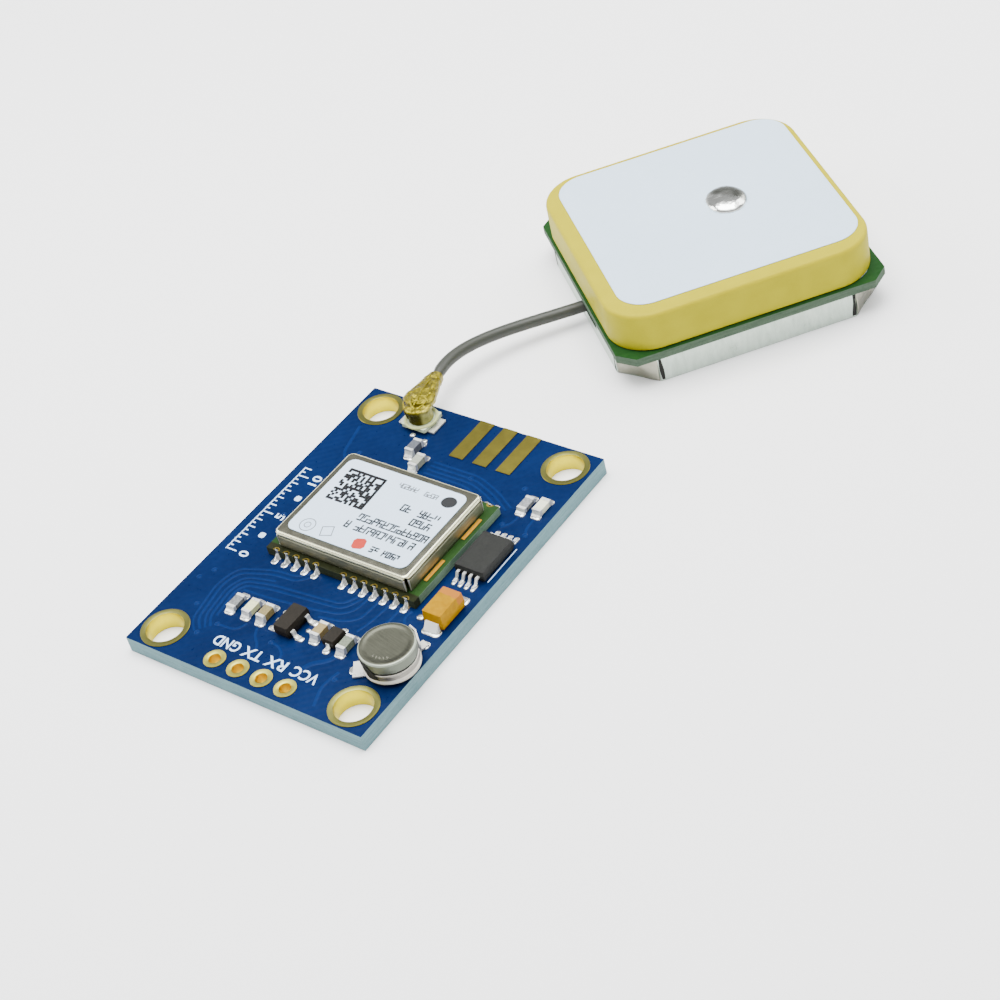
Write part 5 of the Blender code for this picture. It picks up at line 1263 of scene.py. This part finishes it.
# %% Solder lands
LAND_SHARES = np.array([1.0, 1.0, 0.94, 0.8, 0.55, 0.25])
LAND_RISES = np.array([0.0, 0.35, 0.6, 0.85, 0.97, 1.0])
lands = Shape()


def land(x, y, size_x, size_y, crown, turn=0.0):
    """A crowned plate: rings of a rounded outline shrink to the middle as the height rises."""
    outline = rounded_outline(size_x, size_y, 0.4 * min(size_x, size_y), 4)
    lands.capped(stacked([carried(outline * share, turn, (x, y)) for share in LAND_SHARES],
                         BOARD_TOP + LAND_RISES * crown))


def lands_of(chip, places, *plate):
    """One equal land at each of some places round the middle of a part."""
    x, y = middle_of(chip)
    for away_x, away_y in places:
        land(x + away_x, y + away_y, *plate)


for chip in CHIP_BODIES:
    lands_of(chip, ((0, -0.98), (0, 0.98)), 0.98, 0.66, 0.13)
lands_of("memory_chip", [(0.65 * (number - 1.5), way * 3.02) for number in range(4)
                         for way in (-1, 1)], 0.4, 0.86, 0.12)
lands_of("voltage_regulator", ((-1.42, -0.95), (-1.42, 0), (-1.42, 0.95), (1.42, -0.95),
                               (1.42, 0.95)), 0.9, 0.55, 0.13)
lands_of("voltage_regulator", [(1.5, 0.1)], 0.45, 0.4, 0.1)
lands_of("voltage_regulator", [(1.95, 1.0)], 1.3, 0.42, 0.1, math.radians(-14.0))
lands_of("diode", ((0, -1.2), (0, 1.2)), 0.66, 0.66, 0.12)
lands_of("tantalum_capacitor", ((0, -1.95), (0, 1.95)), 1.8, 0.95, 0.14)
lands_of("module_board", [(contact_x, side * 6.45) for contact_x in CONTACT_X
                          for side in (-1, 1)], 0.62, 0.95, 0.07)
land(9.35, -4.9, 0.7, 0.6, 0.2)
land(8.3, -11.6, 1.9, 1.0, 0.1, math.radians(35.0))
land(11.5, -7.25, 0.9, 0.8, 0.12)
land(-5.1, 13.2, 0.55, 0.5, 0.22)
land(-3.65, 13.0, 0.5, 0.45, 0.12)
lands.mesh("solder_lands", solder, "bright_tin", sharp=60)

# %% [markdown]
# ## Silkscreen
# White ink names the four header contacts, upside down from here, and draws a short line beside
# two parts. Along the left edge is a plain millimetre scale. Blender's letters give clean
# strokes; they are made a mesh before they are placed, and the ink is thin.

# %% Silkscreen
INK = 0.02
SCALE_X, SCALE_TEXT_X, SCALE_FROM = -11.75, -9.75, -5.2


def letters(shape, words, x, y, width, height, turn):
    """Words as a thin raised mesh, scaled to a width and a height, then turned and placed."""
    text = bpy.data.curves.new("words", "FONT")
    text.body = words
    text.size = 1.0
    text.extrude = 0.5
    text.offset = 0.018
    text.resolution_u = 3
    holder = put("words", text)
    bpy.context.view_layer.update()
    shown = holder.evaluated_get(bpy.context.evaluated_depsgraph_get())
    mesh = bpy.data.meshes.new_from_object(shown)
    points = np.empty(len(mesh.vertices) * 3)
    mesh.vertices.foreach_get("co", points)
    points = points.reshape(-1, 3)
    least, most = points[:, :2].min(0), points[:, :2].max(0)
    points[:, :2] = (points[:, :2] - (least + most) / 2) / (most - least) * (width, height)
    points = carried(points, turn, (x, y))
    points[:, 2] = BOARD_TOP + INK * (points[:, 2] > 0)
    shape.add(points, [face.vertices for face in mesh.polygons])
    bpy.data.objects.remove(holder, do_unlink=True)


def bar(shape, x, y, size_x, size_y, turn=0.0, low=BOARD_TOP, thick=INK):
    """A small solid rectangle of ink, raised between two heights."""
    outline = carried(rounded_outline(size_x, size_y, 0.2 * min(size_x, size_y), 1), turn, (x, y))
    shape.capped(stacked([outline, outline], [low, low + thick]))


silk = Shape()
for words, low_x, high_x in (("GND", -5.36, -2.6), ("TX", -2.2, -0.15), ("RX", 0.32, 2.4),
                             ("VCC", 3.08, 5.78)):
    letters(silk, words, (low_x + high_x) / 2, -14.1, high_x - low_x, 1.08, math.pi)
bar(silk, 12.05, 2.85, 0.11, 4.2)
bar(silk, -1.5, -8.65, 0.14, 0.9)
bar(silk, SCALE_X, 0.3, 0.12, 11.2)
for number in range(23):
    length = 1.15 if number % 10 == 0 else 0.75 if number % 2 == 0 else 0.4
    bar(silk, SCALE_X + length / 2, SCALE_FROM + 0.5 * number, length, 0.13)
for words, place_y, width in (("0", -5.2, 0.7), ("5", -0.2, 0.7), ("10", 4.8, 1.25)):
    letters(silk, words, SCALE_TEXT_X, place_y, width, 0.95, math.pi / 2)
for place_y in (-2.7, 2.3):
    bar(silk, SCALE_TEXT_X, place_y, 0.62, 0.62)
silk.mesh("silkscreen", silk_white, "board_mask", sharp=30)

# %% [markdown]
# ## Print on the label
# The label carries a first-contact dot and fine print. Short strokes that spell nothing stand
# for the lines of print, a field of random cells stands for a code, and below them are a few
# plain shapes: two rings, a square and a red one with round corners.

# %% Print on the label
PRINT = 0.01
CODE, CODE_FILL, CODE_X, CODE_Y, CODE_SIZE = 16, 0.58, -5.12, 5.34, np.array([4.0, 3.95])
STROKES = np.array([(0.0, 1.0, 1, 0), (0.0, 0.0, 1, 0), (0.0, -1.0, 1, 0), (-1.0, 0.5, 0, 1),
                    (1.0, 0.5, 0, 1), (-1.0, -0.5, 0, 1), (1.0, -0.5, 0, 1)])


def label_bar(shape, x, y, size_x, size_y, turn=0.0):
    """A small solid rectangle of print on the label."""
    bar(shape, x, y, size_x, size_y, turn, LABEL_TOP, PRINT)


def label_ring(shape, x, y, radius, width):
    """A thin round stroke: a four-sided section at each angle, open by one degree."""
    angle = np.radians(np.linspace(0.0, 359.0, 28))[:, None]
    reach = radius + np.array([0.5, 0.5, -0.5, -0.5]) * width
    shape.capped(together(x + reach * np.cos(angle), y + reach * np.sin(angle),
                          LABEL_TOP + np.array([0.0, PRINT, PRINT, 0.0])))


def stroke_line(shape, start, end, y, height, seed, blank=0.1, weight=0.15, gap=0.19):
    """A line of small marks, each a random choice of seven strokes, so that it spells nothing."""
    rng = np.random.default_rng(seed)
    pitch = height * 0.62
    half_x, half_y = (pitch - gap) / 2, height / 2 - weight / 2
    for x in np.arange(start + pitch / 2, end - pitch * 0.3, pitch):
        if rng.random() < blank:
            continue
        for sx, sy, is_flat, is_tall in STROKES[rng.random(7) < 0.62]:
            label_bar(shape, x + sx * half_x, y + sy * half_y, half_x * 2 * is_flat + weight,
                      half_y * is_tall + weight)


label_black, label_grey, label_faint, label_red, label_dot = (Shape() for _ in range(5))
angle = full_turn(40)
dot = together(5.5 + 0.74 * np.cos(angle), 5.19 + 0.64 * np.sin(angle))
label_dot.capped(stacked([dot, dot], [LABEL_TOP, LABEL_TOP + PRINT]))

rng = np.random.default_rng(23)
cells = rng.random((CODE, CODE)) < CODE_FILL
cells[:, -1] = True
cells[0, :] = True
cells[-1, ::2] = True
cell_x, cell_y = CODE_SIZE / CODE
for row, column in np.argwhere(cells):
    skew = 0.012 * (row - CODE / 2)
    label_bar(label_black, CODE_X + skew + (column + 0.5) * cell_x,
              CODE_Y - (row + 0.5) * cell_y, cell_x * 1.16, cell_y * 1.16)

for line in ((0.1, 2.2, 5.3, 0.55, 1), (2.9, 4.4, 5.25, 0.55, 11)):
    stroke_line(label_faint, *line, weight=0.08, gap=0.1)
for line in ((2.0, 3.1, 3.1, 0.85, 2), (3.9, 6.3, 3.05, 0.85, 12, 0.0),
             (3.8, 6.05, 1.95, 0.85, 3, 0.0), (-0.8, 6.5, 0.68, 0.85, 4, 0.0),
             (-1.35, 6.4, -0.45, 0.85, 5), (2.6, 5.9, -2.1, 0.7, 6)):
    stroke_line(label_grey, *line)
label_bar(label_red, 1.35, -2.0, 1.2, 1.2, 0.3)
label_ring(label_faint, -4.3, -1.95, 0.72, 0.08)
label_ring(label_faint, -4.3, -1.95, 0.3, 0.07)
for turn in (0.4, 0.4 + math.pi / 2):
    for offset in (-0.52, 0.52):
        label_bar(label_faint, -2.2 + offset * math.cos(turn), -1.9 + offset * math.sin(turn),
                  0.08, 1.1, turn)
for shape, name, finish in ((label_black, "label_code", print_black),
                            (label_grey, "label_print", print_grey),
                            (label_faint, "label_fine_print", print_faint),
                            (label_red, "label_red_mark", print_red),
                            (label_dot, "label_dot", print_dot)):
    shape.mesh(name, finish, "label_film", sharp=30)

# %% [markdown]
# ## Marks on the cell
# A real cell has faint stamped marks near the rim of its lid. Here they are five short strokes
# that spell nothing, set along an arc.

# %% Marks on the cell
STAMP_R, STAMP_THICK = 1.5, 0.012
stamps = Shape()
for number, bearing in enumerate(np.radians([262.0, 274.0, 286.0, 298.0, 310.0])):
    mark_x, mark_y, _ = (*CELL_MID, 0.0) + STAMP_R * heading(bearing)
    across = bearing + math.pi / 2
    bar(stamps, mark_x, mark_y, 0.06, 0.26, across + 0.3, LID_FACE, STAMP_THICK)
    if number % 2 == 0:
        bar(stamps, mark_x, mark_y, 0.2, 0.07, across, LID_FACE, STAMP_THICK)
stamps.mesh("cell_stamps", stamp_steel, "cell_steel", sharp=30)
